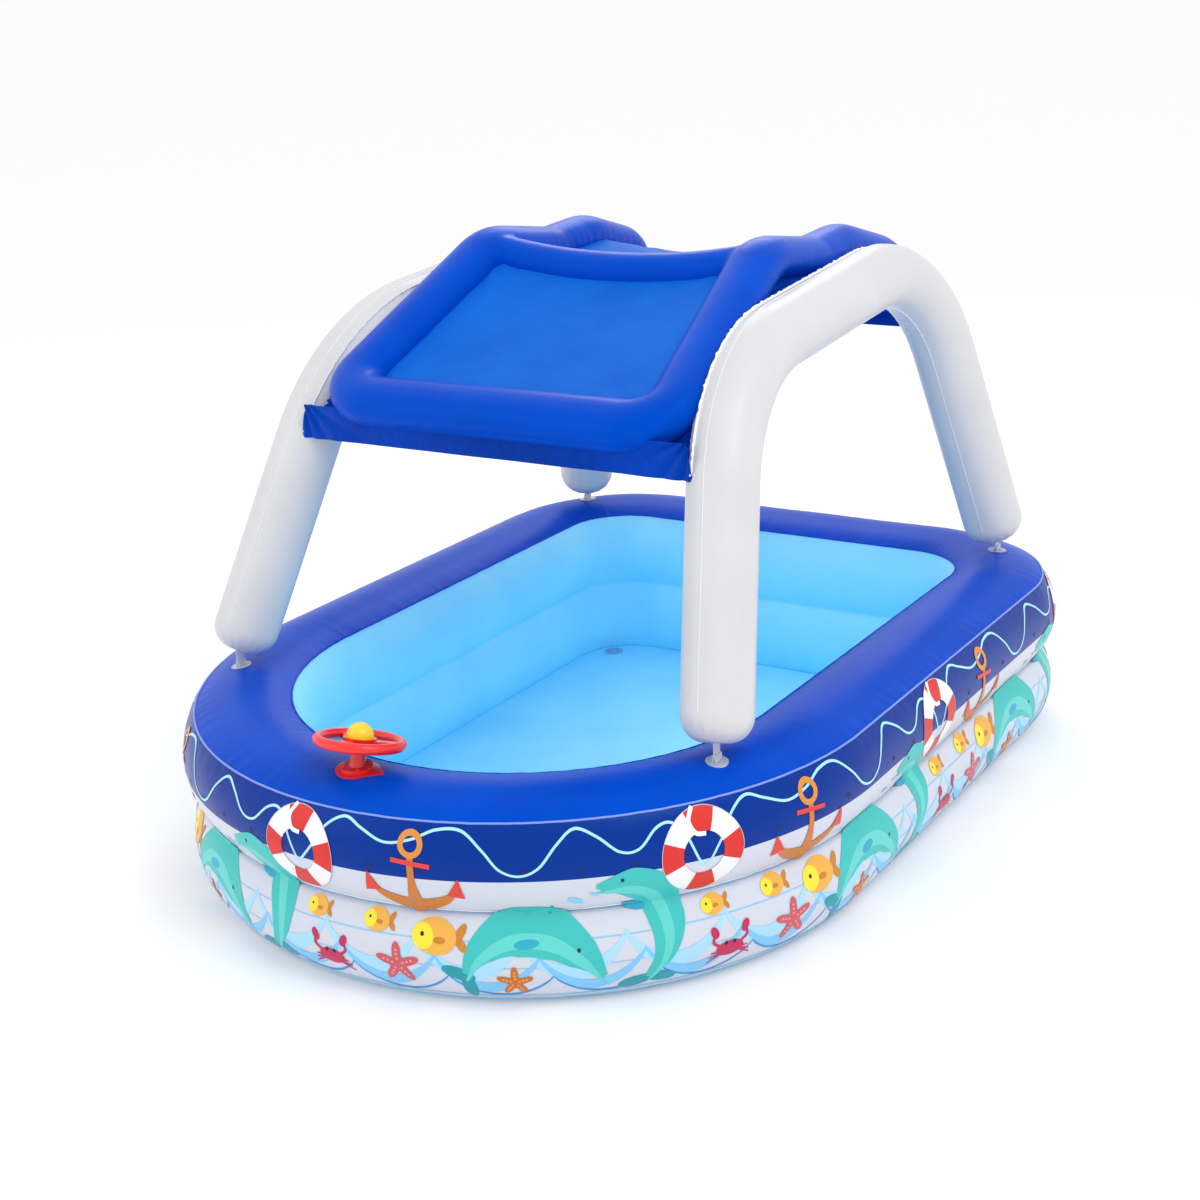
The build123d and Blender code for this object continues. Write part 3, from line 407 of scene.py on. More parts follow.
def make_finishes():
    """Every material of the object, by the record slot or the piece it is for."""
    blue_sheen = {"Specular_Tint": colour("#3C8CFF")}
    moulded = (0.9, 0.02, 30, 0.2)
    FINISH.update({
        # calendered PVC film, gravure printed, satin
        "pool_print_film": surface(
            "gravure_printed_pvc_film", print_bands, 0.30, Specular_IOR_Level=0.28,
            Specular_Tint=colour("#9CC4FF")),
        # ink laid on the same film
        "sea_print": surface("gravure_ink_on_pvc_film", ink_colour, 0.36, None, Specular_IOR_Level=0.3),
        # calendered PVC film dyed light blue, with a faint cyan emission added as a painted glow that
        # brightens the shaded basin, floor and inner crease bead
        "pool_inner_film": surface(
            "light_blue_calendered_pvc", "#A2EEFF", 0.36, (0.6, 0.02, 60, 1.2), "#93E6FF",
            Specular_IOR_Level=0.2, Emission_Color=colour("#4FB4FF"), Emission_Strength=0.12),
        # thicker opaque PVC film dyed royal blue
        "rim_film": surface(
            "royal_blue_calendered_pvc", "#004CCA", 0.36, (0.6, 0.02, 60, 0.8), "#0046BE",
            Specular_IOR_Level=0.12, **blue_sheen),
        "canopy_film": surface(
            "royal_blue_canopy_pvc", "#004CC8", 0.33, (0.6, 0.02, 50, 0.8), "#0045BA",
            Specular_IOR_Level=0.17, **blue_sheen),
        # single films: an embossed matte one and a glossy creased one
        "canopy_panel_film": surface(
            "embossed_matte_blue_pvc", "#0E68D2", 0.55, (1.4, 0.10, 35, 2.0), "#085CC6",
            Specular_IOR_Level=0.10, Specular_Tint=colour("#5C9CFF")),
        "canopy_strip_film": surface(
            "creased_royal_blue_pvc", "#0040B8", 0.34, (0.8, 0.03, 22, 2.0), "#003296",
            Specular_IOR_Level=0.3, **blue_sheen),
        # milky white PVC film
        "arch_film": surface(
            "white_calendered_pvc", "#D4D4D6", 0.34, (0.6, 0.02, 55, 0.6), "#CFCFD2",
            Specular_IOR_Level=0.35, Subsurface_Weight=0.08, Subsurface_Scale=0.01),
        # soft clear vinyl of the clips, tongues and drain
        "clear_vinyl": surface("clear_cast_pvc", "#F4F8FF", 0.2, None, IOR=1.3, Transmission_Weight=0.5),
        "drain_vinyl": surface(
            "soft_moulded_clear_pvc", "#BFE2FF", 0.25, None, IOR=1.52, Transmission_Weight=0.4),
        # moulded toy plastics
        "wheel_red": surface("red_blow_moulded_pe", "#F0231C", 0.30, moulded, IOR=1.5, Coat_Weight=0.3),
        "wheel_web_blue": surface("teal_moulded_pe", "#1AA0D8", 0.34, moulded, IOR=1.5),
        # teal disc between the wheel's ring and dome, darker than the light-blue pool film seen behind it
        "horn_yellow": surface(
            "yellow_soft_moulded_pvc", "#FFD90F", 0.28, moulded, IOR=1.5, Coat_Weight=0.3),
        "white_abs": surface("white_moulded_abs", "#F4F4F2", 0.35, None, IOR=1.53),
        "zinc_steel": surface("zinc_plated_steel", "#C9CCCF", 0.32, None, Metallic=1.0),
        # heat-sealed edges, a little paler than their films
        "weld": surface("heat_sealed_pvc_edge", "#7F9BE8", 0.4, None, Specular_IOR_Level=0.3),
        "white_weld": surface("heat_sealed_white_pvc_edge", "#F6F7FB", 0.4, None, IOR=1.52),
    })


# ---------------------------------------------------------------- pool

def wall_push(s, z):
    """Outward push of the outer wall: small gathers square to the three welds, fading away from them."""
    shape = bpy.context.scene.pool_shape
    gather = 0
    for weld, seed in ((FLOOR_TOP, 3), (TIER, 5), (OUTER_TOP, 7)):
        near = np.exp(-np.abs(z - weld) / shape.gather_reach)
        gather = gather - near * np.abs(ripple(s, PERIMETER, 0.045, 0.11, seed))
    return shape.gather_depth * gather


def section_normals(section):
    """Unit normals, as (inset, height), on the left of a section line's direction."""
    d = np.gradient(section, axis=0)
    d /= np.linalg.norm(d, axis=1, keepdims=True)
    return np.stack([-d[:, 1], d[:, 0]], -1)


def swept_section(section, push, count=900):
    """A section of (inset, height) points carried round the outline, pushed out along its own normals."""
    s = np.linspace(0, PERIMETER, count, endpoint=False)
    place, inward = outline(s)
    normal = section_normals(section)
    out = push(s[:, None], np.broadcast_to(section[None, :, 1], (count, len(section))))
    inset = section[None, :, 0] + out * normal[None, :, 0]
    height = section[None, :, 1] + out * normal[None, :, 1]
    plan = place[:, None] + inward[:, None] * inset[..., None]
    return np.concatenate([plan, height[..., None]], -1)


def ring_piece(name, arcs, counts, finishes):
    """Closed air ring: films joined at their welds, each with its own finish."""
    shape = bpy.context.scene.pool_shape
    parts = [arc(*three, count) for three, count in zip(arcs, counts)]
    run = np.concatenate([part[:-1] for part in parts] + [parts[-1][-1:]])
    closing = np.linspace(run[-1], run[0], 8)[1:-1]
    section = np.concatenate([run, closing])
    bands = np.concatenate([np.full(c - 1, k) for k, c in enumerate(counts)] + [np.full(7, len(counts) - 1)])
    points = swept_section(section, wall_push)
    edge = np.cumsum([0] + [c - 1 for c in counts])
    s = np.linspace(0, PERIMETER, len(points), endpoint=False)
    for k in range(1, len(counts)):
        run_here = lengths(parts[k])
        near = np.exp(-run_here / 0.030) + np.exp(-(run_here[-1] - run_here) / 0.030)
        fold = np.abs(ripple(s, PERIMETER, 0.05, 0.14, 20 + k))[:, None] * near[None]
        swell = np.sin(math.pi * run_here / run_here[-1])
        fold = fold + 0.7 * ripple(s, PERIMETER, 0.3, 0.9, 30 + k)[:, None] * swell[None]
        n = section_normals(parts[k])
        inward = outline(s)[1]
        move = -shape.gather_depth * 1.3 * fold
        columns = slice(edge[k] + 1, edge[k + 1])
        points[:, columns, :2] += (move[..., None] * n[None, :, :1] * inward[:, None])[:, 1:-1]
        points[:, columns, 2] += (move * n[None, :, 1])[:, 1:-1]
    return grid_object(name, points, finishes, True, True, bands)


def build_rings():
    """The two air rings that make the pool's wall."""
    printed, inner, rim = FINISH["pool_print_film"], FINISH["pool_inner_film"], FINISH["rim_film"]
    upper = ring_piece("upper_ring", (UPPER_OUTER, RIM_ARC, UPPER_INNER), (26, 30, 24), [printed, rim, inner])
    settle(upper, "pool", "rim_film", "upper_ring_outer_wall", "rim_top_sheet", "upper_ring_inner_wall")
    lower = ring_piece("lower_ring", (LOWER_OUTER, LOWER_INNER), (28, 26), [printed, inner])
    settle(lower, "pool", "pool_print_film", "lower_ring_outer_wall", "lower_ring_inner_wall")


def build_beads():
    """Half-round heat-sealed beads along the pool's welds: a small circle carried round the outline."""
    t = np.linspace(0, 2 * math.pi, 8, endpoint=False)
    for number, (inset, height, radius, finish) in enumerate(BEADS):
        circle_section = np.stack([inset - radius * np.cos(t), height + radius * np.sin(t)], -1)
        s = np.linspace(0, PERIMETER, 720, endpoint=False)
        place, inward = outline(s)
        waver = 0.0006 * ripple(s, PERIMETER, 0.03, 0.09, 40 + number)[:, None]
        plan = place[:, None] + inward[:, None] * circle_section[None, :, :1]
        high = np.broadcast_to(circle_section[None, :, 1] + waver, plan.shape[:2])
        points = np.concatenate([plan, high[..., None]], -1)[:, ::-1]
        bead = grid_object("pool_weld_bead_%d" % number, points, [FINISH[finish]], True, True)
        settle(bead, "pool", "rim_film" if finish == "weld" else "pool_print_film")


def build_floor():
    """Floor film: the outline shrunk to the middle, with slow waves and puckers at its weld."""
    s = np.linspace(0, PERIMETER, 480, endpoint=False)
    place, inward = outline(s)
    share = np.linspace(0, 1, 90)
    edge = place + inward * GROUND_INSET
    middle = np.array([0.0, 0.12])
    plan = edge[None] * (1 - share[:, None, None]) + middle * share[:, None, None]
    reach = (FLOOR_WELD - GROUND_INSET) / HALF_WIDTH
    inside = np.clip((share - reach) / 0.08, 0, 1)[:, None] * np.clip((1 - share) / 0.2, 0, 1)[:, None]
    pucker = np.abs(ripple(s, PERIMETER, 0.06, 0.2, 51))[None]
    pucker = pucker * np.exp(-np.clip(share - reach, 0, 1) / 0.12)[:, None]
    slow = np.sin(plan[..., 0] * 9 + 1.3 * np.sin(plan[..., 1] * 5)) * np.cos(plan[..., 1] * 7 + 1)
    height = FLOOR_TOP + inside * (0.0035 * pucker + 0.0012 * (1 + slow))
    points = np.concatenate([plan, height[..., None]], -1)
    made = weld_doubles(grid_object("pool_floor", points[::-1], [FINISH["pool_inner_film"]], False, True))
    settle(thicken(made), "pool", "pool_inner_film", "floor_sheet")


# ---------------------------------------------------------------- print

def on_wall(s, z, lift):
    """Point of the printed wall at arc length s and height z, lifted out of the film."""
    inset = np.empty_like(z)
    slope = np.empty_like(z)
    for part, where in ((UPPER_OUTER, z >= TIER), (LOWER_OUTER, z < TIER)):
        middle, radius = circle(*part)
        height = np.clip(z[where], part[0][1], part[2][1]) - middle[1]
        inset[where] = middle[0] - np.sqrt(radius ** 2 - height ** 2)
        slope[where] = height / radius
    place, inward = outline(s)
    over_bead = 0.0016 * np.exp(-((z - TIER) / 0.007) ** 2)
    out = wall_push(s, z) + lift + over_bead
    side = np.sqrt(1 - slope ** 2)
    plan = place + inward * (inset - out * side)[..., None]
    return np.concatenate([plan, (z + out * slope)[..., None]], -1)


def smooth_path(points, step=0.004):
    """Catmull-Rom curve through a few points, sampled evenly."""
    p = np.array(points, float)
    p = np.concatenate([2 * p[:1] - p[1:2], p, 2 * p[-1:] - p[-2:-1]])
    t = np.linspace(0, 1, 24, endpoint=False)[:, None, None]
    a, b, c, d = p[None, :-3], p[None, 1:-2], p[None, 2:-1], p[None, 3:]
    bow, twist = 2 * a - 5 * b + 4 * c - d, 3 * b - a - 3 * c + d
    curve = 0.5 * (2 * b + (c - a) * t + bow * t ** 2 + twist * t ** 3)
    line = np.concatenate([curve.transpose(1, 0, 2).reshape(-1, p.shape[1]), p[-2:-1]])
    return resample(line, step)


def stroke(points, widths):
    """Grid of a painted stroke along a smooth path, with its half width spread along it."""
    line = smooth_path(points)
    t = tangents(line)
    side = np.stack([-t[:, 1], t[:, 0]], -1)
    share = np.linspace(0, 1, len(line))
    half = np.interp(share, np.linspace(0, 1, len(widths)), widths)
    across = np.linspace(-1, 1, max(3, 2 + int(max(widths) / 0.003)))
    return line[:, None] + side[:, None] * (half[:, None] * across[None])[..., None]


def polar(centre, radius_of, count=40, inner=0.0, start=0.0, sweep=2 * math.pi):
    """Grid of a painted patch: share of a radius that depends on the angle."""
    t = start + np.linspace(0, sweep, count)
    outer = radius_of(t)
    rings = max(3, int(np.max(outer) / 0.006) + 2)
    share = np.linspace(inner, 1, rings)
    edge = np.stack([np.cos(t), np.sin(t)], -1) * outer[:, None]
    return np.array(centre) + edge[None] * share[:, None, None]


def oval(centre, long, short, turn=0.0, **more):
    """Painted ellipse, turned by an angle."""
    def radius_of(t):
        a = t - turn
        return long * short / np.sqrt((short * np.cos(a)) ** 2 + (long * np.sin(a)) ** 2)
    return polar(centre, radius_of, **more)


def disc(radius, count, centre=(0, 0), **more):
    """Painted round patch, or part of one."""
    return polar(centre, lambda t: radius + 0 * t, count, **more)


def star(centre, size, turn):
    """Painted five-armed star with round tips."""
    return polar(centre, lambda t: size * (0.40 + 0.60 * (0.5 + 0.5 * np.cos(5 * (t - turn))) ** 1.4), 90)


def lifebuoy():
    """Ring of eight blocks, red and white in turn."""
    blocks = []
    for k in range(8):
        ink = "#D9302C" if k % 2 == 0 else "#F0F0F4"
        blocks.append((ink, 3, disc(0.083, 12, inner=0.5, start=(k - 0.5) * math.pi / 4, sweep=math.pi / 4)))
    blocks.append(("#B9C3DA", 4, disc(0.0838, 80, inner=0.985)))
    loop = [(-0.012, 0.084), (-0.024, 0.062), (-0.014, 0.040), (0.006, 0.036)]
    blocks.append(("#F4F4F7", 5, stroke(loop, [0.004, 0.004])))
    return blocks


def anchor():
    """Two-armed anchor with a ring and a crossbar."""
    brown, red = "#CB7A33", "#DE4238"
    arms = [(-0.088, -0.030), (-0.055, -0.060), (0, -0.076), (0.055, -0.060), (0.088, -0.030)]
    shapes = [
        (brown, 3, stroke(arms, [0.003, 0.012, 0.018, 0.012, 0.003])),
        (brown, 3.3, stroke([(0, 0.036), (0, -0.020), (0, -0.078)], [0.006, 0.007, 0.017])),
        ("#DD8F3E", 3.6, disc(0.025, 40, (0, 0.052), inner=0.56)),
        (red, 3.9, stroke([(-0.038, 0.022), (0, 0.018), (0.038, 0.014)], [0.0045, 0.0045])),
    ]
    for side in (-1, 1):
        tip = [(side * 0.082, -0.048), (side * 0.089, -0.008)]
        shapes.append((red, 4.2, stroke(tip, [0.017, 0.001])))
    return shapes


def fish(size):
    """Round reef fish with a yellow face, a side fin and a forked tail."""
    shapes = [
        ("#C9832B", 2.4, oval((0.92 * size, 0.18 * size), 0.34 * size, 0.15 * size, 1.0)),
        ("#C9832B", 2.4, oval((0.92 * size, -0.18 * size), 0.34 * size, 0.15 * size, -1.0)),
        ("#EFB04C", 2.8, oval((0, 0), 0.78 * size, 0.62 * size)),
        ("#F8E23A", 3.2, oval((-0.44 * size, 0), 0.40 * size, 0.44 * size)),
        ("#C9832B", 3.6, oval((0.16 * size, -0.10 * size), 0.22 * size, 0.12 * size)),
        ("#1B2440", 4.0, oval((-0.46 * size, 0.08 * size), 0.07 * size, 0.08 * size, count=16)),
    ]
    return shapes


def crab():
    """Small crab with two raised claws and six legs."""
    ink = "#C22659"
    shapes = [(ink, 3, oval((0, 0), 0.030, 0.017))]
    for side in (-1, 1):
        claw = [(side * 0.022, 0.008), (side * 0.036, 0.020), (side * 0.034, 0.034)]
        shapes.append((ink, 3.3, stroke(claw, [0.003, 0.003])))
        shapes.append((ink, 3.6, oval((side * 0.033, 0.040), 0.013, 0.008, 1.2 * side)))
        shapes.append(("#2A1020", 4, oval((side * 0.009, 0.013), 0.0035, 0.0045, count=14)))
        for leg in range(3):
            foot = (side * (0.040 + 0.004 * leg), -0.004 - 0.011 * leg)
            shapes.append((ink, 3, stroke([(side * 0.020, -0.004 - 0.003 * leg), foot], [0.0024, 0.0012])))
    return shapes


def starfish(ink, spot, size, turn):
    """Five-armed star with lighter spots along its arms."""
    shapes = [(ink, 3, star((0, 0), size, turn))]
    for arm in range(5):
        a = turn + arm * 2 * math.pi / 5
        for share in (0.25, 0.45, 0.64):
            place = (share * size * math.cos(a), share * size * math.sin(a))
            shapes.append((spot, 3.4, oval(place, 0.0026, 0.0026, count=12)))
    return shapes


def dolphin(back, widths, fin, flukes, flipper, eye):
    """Plain dolphin: a body stroke with a darker back and a paler belly, a fin, two flukes and a flipper."""
    back = np.array(back)
    shapes = [("#1E98A8", 1.4, oval(place, 0.034, 0.014, turn)) for place, turn in flukes]
    shapes.append(("#2BA9B0", 1.4, stroke(fin, [0.018, 0.010, 0.001])))
    shapes.append(("#3DC0BC", 1.8, stroke(back, widths)))
    shapes.append(("#62D2CB", 2.2, stroke(back - [0.0, 0.36 * max(widths)], [0.3 * w for w in widths])))
    shapes.append(("#2BA9C8", 2.6, oval(flipper[0], 0.024, 0.009, flipper[1])))
    shapes.append(("#12304A", 2.6, oval(eye, 0.0035, 0.0045, count=14)))
    return shapes


def leaping_dolphin():
    """Dolphin that arcs along the wall, head down."""
    back = [
        (-0.128, -0.052), (-0.098, -0.004), (-0.040, 0.030), (0.035, 0.026), (0.092, -0.014), (0.134, -0.066)]
    return dolphin(
        back, [0.008, 0.030, 0.046, 0.048, 0.034, 0.005], [(0.030, 0.044), (0.042, 0.060), (0.040, 0.082)],
        [((-0.142, -0.052), 2.8), ((-0.124, -0.082), 1.7)], ((-0.010, 0.010), 0.1), (0.086, -0.006))


def rising_dolphin():
    """Dolphin that stands up the wall, head over its left side."""
    back = [
        (0.016, -0.118), (0.048, -0.070), (0.058, -0.010), (0.040, 0.050), (-0.004, 0.082), (-0.076, 0.086)]
    return dolphin(
        back, [0.006, 0.022, 0.036, 0.041, 0.033, 0.005], [(0.062, 0.062), (0.082, 0.080), (0.086, 0.100)],
        [((-0.008, -0.126), 0.2), ((0.040, -0.122), -0.2)], ((-0.004, 0.028), 2.9), (-0.028, 0.094))


def droplets():
    """Three drops of splashed water."""
    spots = ((0, 0, 0.016), (0.034, 0.012, 0.009), (-0.030, -0.060, 0.014))
    return [("#8CCFF2", 1.2, oval((x, y), size, 0.45 * size, -0.4)) for x, y, size in spots]


MOTIFS = [
    (lifebuoy, -0.045, 0.286), (anchor, 0.203, 0.284), (lambda: fish(0.030), -0.022, 0.168),
    (lambda: fish(0.034), 0.116, 0.168), (lambda: fish(0.054), 0.236, 0.150), (leaping_dolphin, 0.420, 0.132),
    (rising_dolphin, 0.620, 0.166), (crab, 0.008, 0.074), (droplets, 0.505, 0.222),
    (lambda: starfish("#CD5A63", "#EE9AA0", 0.046, 0.35), 0.158, 0.088),
    (lambda: starfish("#CC6A1E", "#F0A24A", 0.036, 1.57), 0.384, 0.062),
]
ROPE = [
    (-0.045, 0.262), (-0.012, 0.300), (0.020, 0.345), (0.060, 0.366), (0.100, 0.352), (0.150, 0.335),
    (0.203, 0.344), (0.250, 0.362), (0.300, 0.362), (0.340, 0.330), (0.370, 0.296), (0.405, 0.284),
    (0.440, 0.298), (0.475, 0.338), (0.510, 0.362), (0.550, 0.346), (0.590, 0.316), (0.625, 0.316),
    (0.660, 0.346), (0.690, 0.352), (0.715, 0.330),
]


def wave_band(crest, thick, depth, shift, lean):
    """Strip round the pool with round troughs and pointed crests, four to a repeat."""
    s = np.linspace(0, PERIMETER, 1601)
    dip = np.abs(np.sin(math.pi * (s - shift) * 4 / REPEAT)) ** 0.75
    high = crest - depth * dip
    low = high - thick * (0.35 + 0.65 * dip ** lean)
    z = low[:, None] + (high - low)[:, None] * np.linspace(0, 1, 6)[None]
    return np.stack([np.broadcast_to(s[:, None], z.shape), z], -1)


def background_shapes():
    """Waves, level lines, rope and dark rivet rings, as (ink, layer, grid of (s, z))."""
    shapes = [
        ("#A9DBF8", 0.4, wave_band(0.158, 0.036, 0.062, 0.0, 1.0)),
        ("#7FC6F2", 0.7, wave_band(0.122, 0.026, 0.062, 0.035, 1.0)),
        ("#2F8FDB", 1.0, wave_band(0.078, 0.006, 0.050, 0.06, 0.2)),
    ]
    s = np.linspace(0, PERIMETER, 1201)
    for height, half in ((0.146, 0.0013), (0.094, 0.0011), (0.020, 0.0020)):
        z = height + half * np.linspace(-1, 1, 3)
        shapes.append(("#8CC9EF", 0.2, np.stack(np.broadcast_arrays(s[:, None], z[None]), -1)))
    rope = np.array(ROPE)
    line = np.concatenate([rope + [k * REPEAT, 0] for k in range(REPEATS)] + [rope[:1] + [PERIMETER, 0]])
    shapes.append(("#ABE6F8", 1.0, stroke(line, [0.0024, 0.0024])))
    for k in range(REPEATS * 8):
        ring = disc(0.0058, 20, (k * REPEAT / 8 + 0.02, NAVY_FOOT + 0.018), inner=0.45)
        shapes.append(("#062468", 0.6, ring))
    return shapes


def build_print():
    """Every printed motif as one thin layer on the wall, with its ink on its own vertices."""
    shapes = background_shapes()
    for k in range(REPEATS):
        for motif, along, height in MOTIFS:
            shapes += [(ink, layer, grid + [along + k * REPEAT, height]) for ink, layer, grid in motif()]
    points, faces, inks, start = [], [], [], 0
    lift = bpy.context.scene.pool_print.layer_lift
    for ink, layer, grid in shapes:
        rows, columns = grid.shape[:2]
        mesh = on_wall(grid[..., 0], np.clip(grid[..., 1], 0.006, OUTER_TOP - 0.003), 0.0004 + layer * lift)
        quads = grid_faces(rows, columns, False, False)[0]
        a, b, c = (mesh.reshape(-1, 3)[quads[0, k]] for k in (0, 1, 2))
        outward = outline(grid[0, 0, 0])[1]
        if np.cross(b - a, c - b)[:2] @ outward > 0:
            quads = quads[:, ::-1]
        points.append(mesh.reshape(-1, 3))
        faces.append(quads + start)
        inks.append(np.tile(colour(ink), (rows * columns, 1)))
        start += rows * columns
    made = link_mesh("sea_print", np.concatenate(points), np.concatenate(faces), [FINISH["sea_print"]])
    layer = made.data.attributes.new("ink", "FLOAT_COLOR", "POINT")
    layer.data.foreach_set("color", np.concatenate(inks).astype(np.float32).ravel())
    settle(made, "pool", "pool_print_film")


# ---------------------------------------------------------------- arches

def arch_point(y, z):
    """Point of the starboard arch's leaning plane."""
    return np.array([FOOT_X - math.tan(LEAN) * (z - RIM_TOP), y, z])


def leg_point(foot, bend, rise):
    """Point of a leg's middle line at a height."""
    return foot + (bend - foot) * (rise - foot[2]) / (bend[2] - foot[2])


def arch_line():
    """Middle line of the starboard arch between its rounded ends, with its directions."""
    bow, stern = arch_point(BOW_FOOT, RIM_TOP), arch_point(STERN_FOOT, RIM_TOP)
    first, second = (arch_point(y, z) for y, z, _ in BENDS)
    tips = leg_point(bow, first, LEG_RISE), leg_point(stern, second, LEG_RISE)
    ends = [tip + (bend - tip) / np.linalg.norm(bend - tip) * ARCH_END
            for tip, bend in zip(tips, (first, second))]
    line = rounded_line([ends[0], first, second, ends[1]], [r for _, _, r in BENDS])
    return line, tangents(line)


def mirrored(points):
    """Port copy of a starboard grid, turned so that its faces still look outwards."""
    return (points * [-1, 1, 1])[:, ::-1]


def arch_grid():
    """Rings round the arch's middle line, gathered inside its bends and along its seams, with domed ends."""
    shape = bpy.context.scene.pool_shade
    line, t = arch_line()
    run = lengths(line)
    around = np.linspace(0, 2 * math.pi, 72, endpoint=False)
    out = np.cross(ARCH_NORMAL, t)
    bend = np.linalg.norm(np.gradient(t, axis=0), axis=1) / np.gradient(run)
    bend = np.convolve(bend / bend.max(), np.ones(15) / 15, "same")
    inside = np.clip(-np.sin(around), 0, 1) ** 3
    wrinkle = np.abs(ripple(run, run[-1], 0.028, 0.06, 61))[:, None] * inside[None] * bend[:, None]
    seam = np.exp(-(np.cos(around) / 0.16) ** 2)
    gather = (0.35 + 0.65 * np.abs(ripple(run, run[-1], 0.03, 0.09, 62)))[:, None] * seam[None]
    slow = ripple(run, run[-1], 0.25, 0.6, 63)[:, None] * np.cos(2 * around)[None]
    radius = ARCH_R - shape.bend_wrinkle * wrinkle - 0.0009 * gather + 0.0006 * slow
    spread = np.cos(around)[None, :, None] * ARCH_NORMAL + np.sin(around)[None, :, None] * out[:, None]
    body = line[:, None] + radius[..., None] * spread
    caps = []
    for end, direction in ((0, -1), (-1, 1)):
        a = np.linspace(0, math.pi / 2, 12)[1:]
        r = np.concatenate([ARCH_R - ARCH_END + ARCH_END * np.cos(a), [0.5 * (ARCH_R - ARCH_END), 0]])
        d = np.concatenate([ARCH_END * np.sin(a), [ARCH_END, ARCH_END]])
        crimp = 1 - 0.035 * np.abs(np.sin(9 * around))[None] * np.concatenate([np.sin(a), [0.5, 0]])[:, None]
        reach = (r[:, None] * crimp)[..., None] * spread[end][None]
        caps.append(line[end] + direction * d[:, None, None] * t[end] + reach)
    return np.concatenate([caps[0][::-1], body, caps[1]])


def seam_strip(side):
    """Thin weld line along one seam of the arch, in the arch's own plane."""
    line, t = arch_line()
    run = lengths(line)
    out = np.cross(ARCH_NORMAL, t) * side
    reach = 0.0006 + 0.0003 * ripple(run, run[-1], 0.012, 0.03, 64)
    share = np.linspace(0, 1, 4)
    far = ARCH_R - 0.0035 + (reach + 0.0035)[:, None] * share[None]
    return line[:, None] + far[..., None] * out[:, None]


def film_weld():
    """Where the side film meets the arch: place, direction away from the tube, and direction in its plane."""
    line, t = arch_line()
    outward = np.cross(ARCH_NORMAL, t)
    weld = math.cos(FILM_TURN) * outward - math.sin(FILM_TURN) * ARCH_NORMAL
    outer = line + weld * (ARCH_R - 0.001)
    hem = np.interp(outer[:, 1], [outer[:, 1].min(), outer[:, 1].max()], [FRONT_LOW.z, REAR_LOW.z])
    keep = outer[:, 2] > hem
    return outer[keep], weld[keep], outward[keep]


def film_frill():
    """White welded edge that stands up from the arch beside the side film and ruffles unevenly."""
    outer, weld, _ = film_weld()
    run = lengths(outer)
    reach = 0.0062 + 0.0026 * ripple(run, run[-1], 0.009, 0.040, 65)
    ruffle = 0.0026 * ripple(run, run[-1], 0.012, 0.05, 66)
    share = np.linspace(-0.4, 1, 7)
    lean = ruffle[:, None] * np.clip(share, 0, 1)[None]
    rise = (reach[:, None] * share[None])[..., None] * weld[:, None]
    return outer[:, None] + rise + lean[..., None] * ARCH_NORMAL


SIDES = (("starboard", lambda grid: grid), ("port", mirrored))


def build_arches():
    """Both arches with their weld flanges."""
    for name, turn in SIDES:
        skin = grid_object(name + "_arch", turn(arch_grid()), [FINISH["arch_film"]], False, True)
        tube = weld_doubles(skin)
        settle(tube, "sunshade", "arch_film", name + "_arch_outboard_sheet", name + "_arch_inboard_sheet")
        strips = (("outer", seam_strip(1)), ("inner", seam_strip(-1)), ("film", film_frill()))
        for label, points in strips:
            strip = grid_object("%s_arch_%s_weld" % (name, label), turn(points), [FINISH["white_weld"]])
            settle(thicken(strip, WELD_THICK), "sunshade", "arch_film")


# ---------------------------------------------------------------- canopy

def rail_half_width(z):
    """Distance of the rail's middle line from the middle plane, at a height."""
    return FOOT_X - math.tan(LEAN) * (z - RIM_TOP) - RAIL_OFFSET


def rail_spread(y):
    """How far the soft rail bulges out past its middle line, towards the arch."""
    return np.interp(y, *zip(*RAIL_SPREAD))


def side_line():
    """Side view of the rail, as points (0, y, z)."""
    return rounded_line([(0, y, z) for y, z in RAIL], RAIL_BENDS, 0.004)


def loop_line():
    """Closed middle line of the canopy's air tube."""
    corners = [(0, *RAIL[0])] + [(rail_half_width(z), y, z) for y, z in RAIL] + [(0, *RAIL[-1])]
    half = rounded_line(corners, [TUBE_CORNER] + RAIL_BENDS + [TUBE_CORNER], 0.005)
    half[:, 0] += rail_spread(half[:, 1]) * np.clip(half[:, 0] / rail_half_width(RAIL[0][1]), 0, 1)
    return np.concatenate([half, (half * [-1, 1, 1])[::-1][1:-1]])


def shade_up(y):
    """Unit normal of the canopy's middle surface at a distance along the pool."""
    line = side_line()
    t = tangents(line)
    up = np.stack([0 * y, -np.interp(y, line[:, 1], t[:, 2]), np.interp(y, line[:, 1], t[:, 1])], -1)
    return up / np.linalg.norm(up, axis=1, keepdims=True)


def ridge_sag(x, half):
    """How far the ridge tube hangs below its ends."""
    return RIDGE_SAG * (1 - np.clip(np.abs(x) / half, 0, 1) ** 2.2)


def ring_frames(line, closed):
    """Two unit vectors square to a line: one across the canopy's surface, one out of it."""
    t = tangents(line, closed)
    up = shade_up(line[:, 1])
    up = up - (up * t).sum(1, keepdims=True) * t
    up /= np.linalg.norm(up, axis=1, keepdims=True)
    return np.cross(t, up), up, t


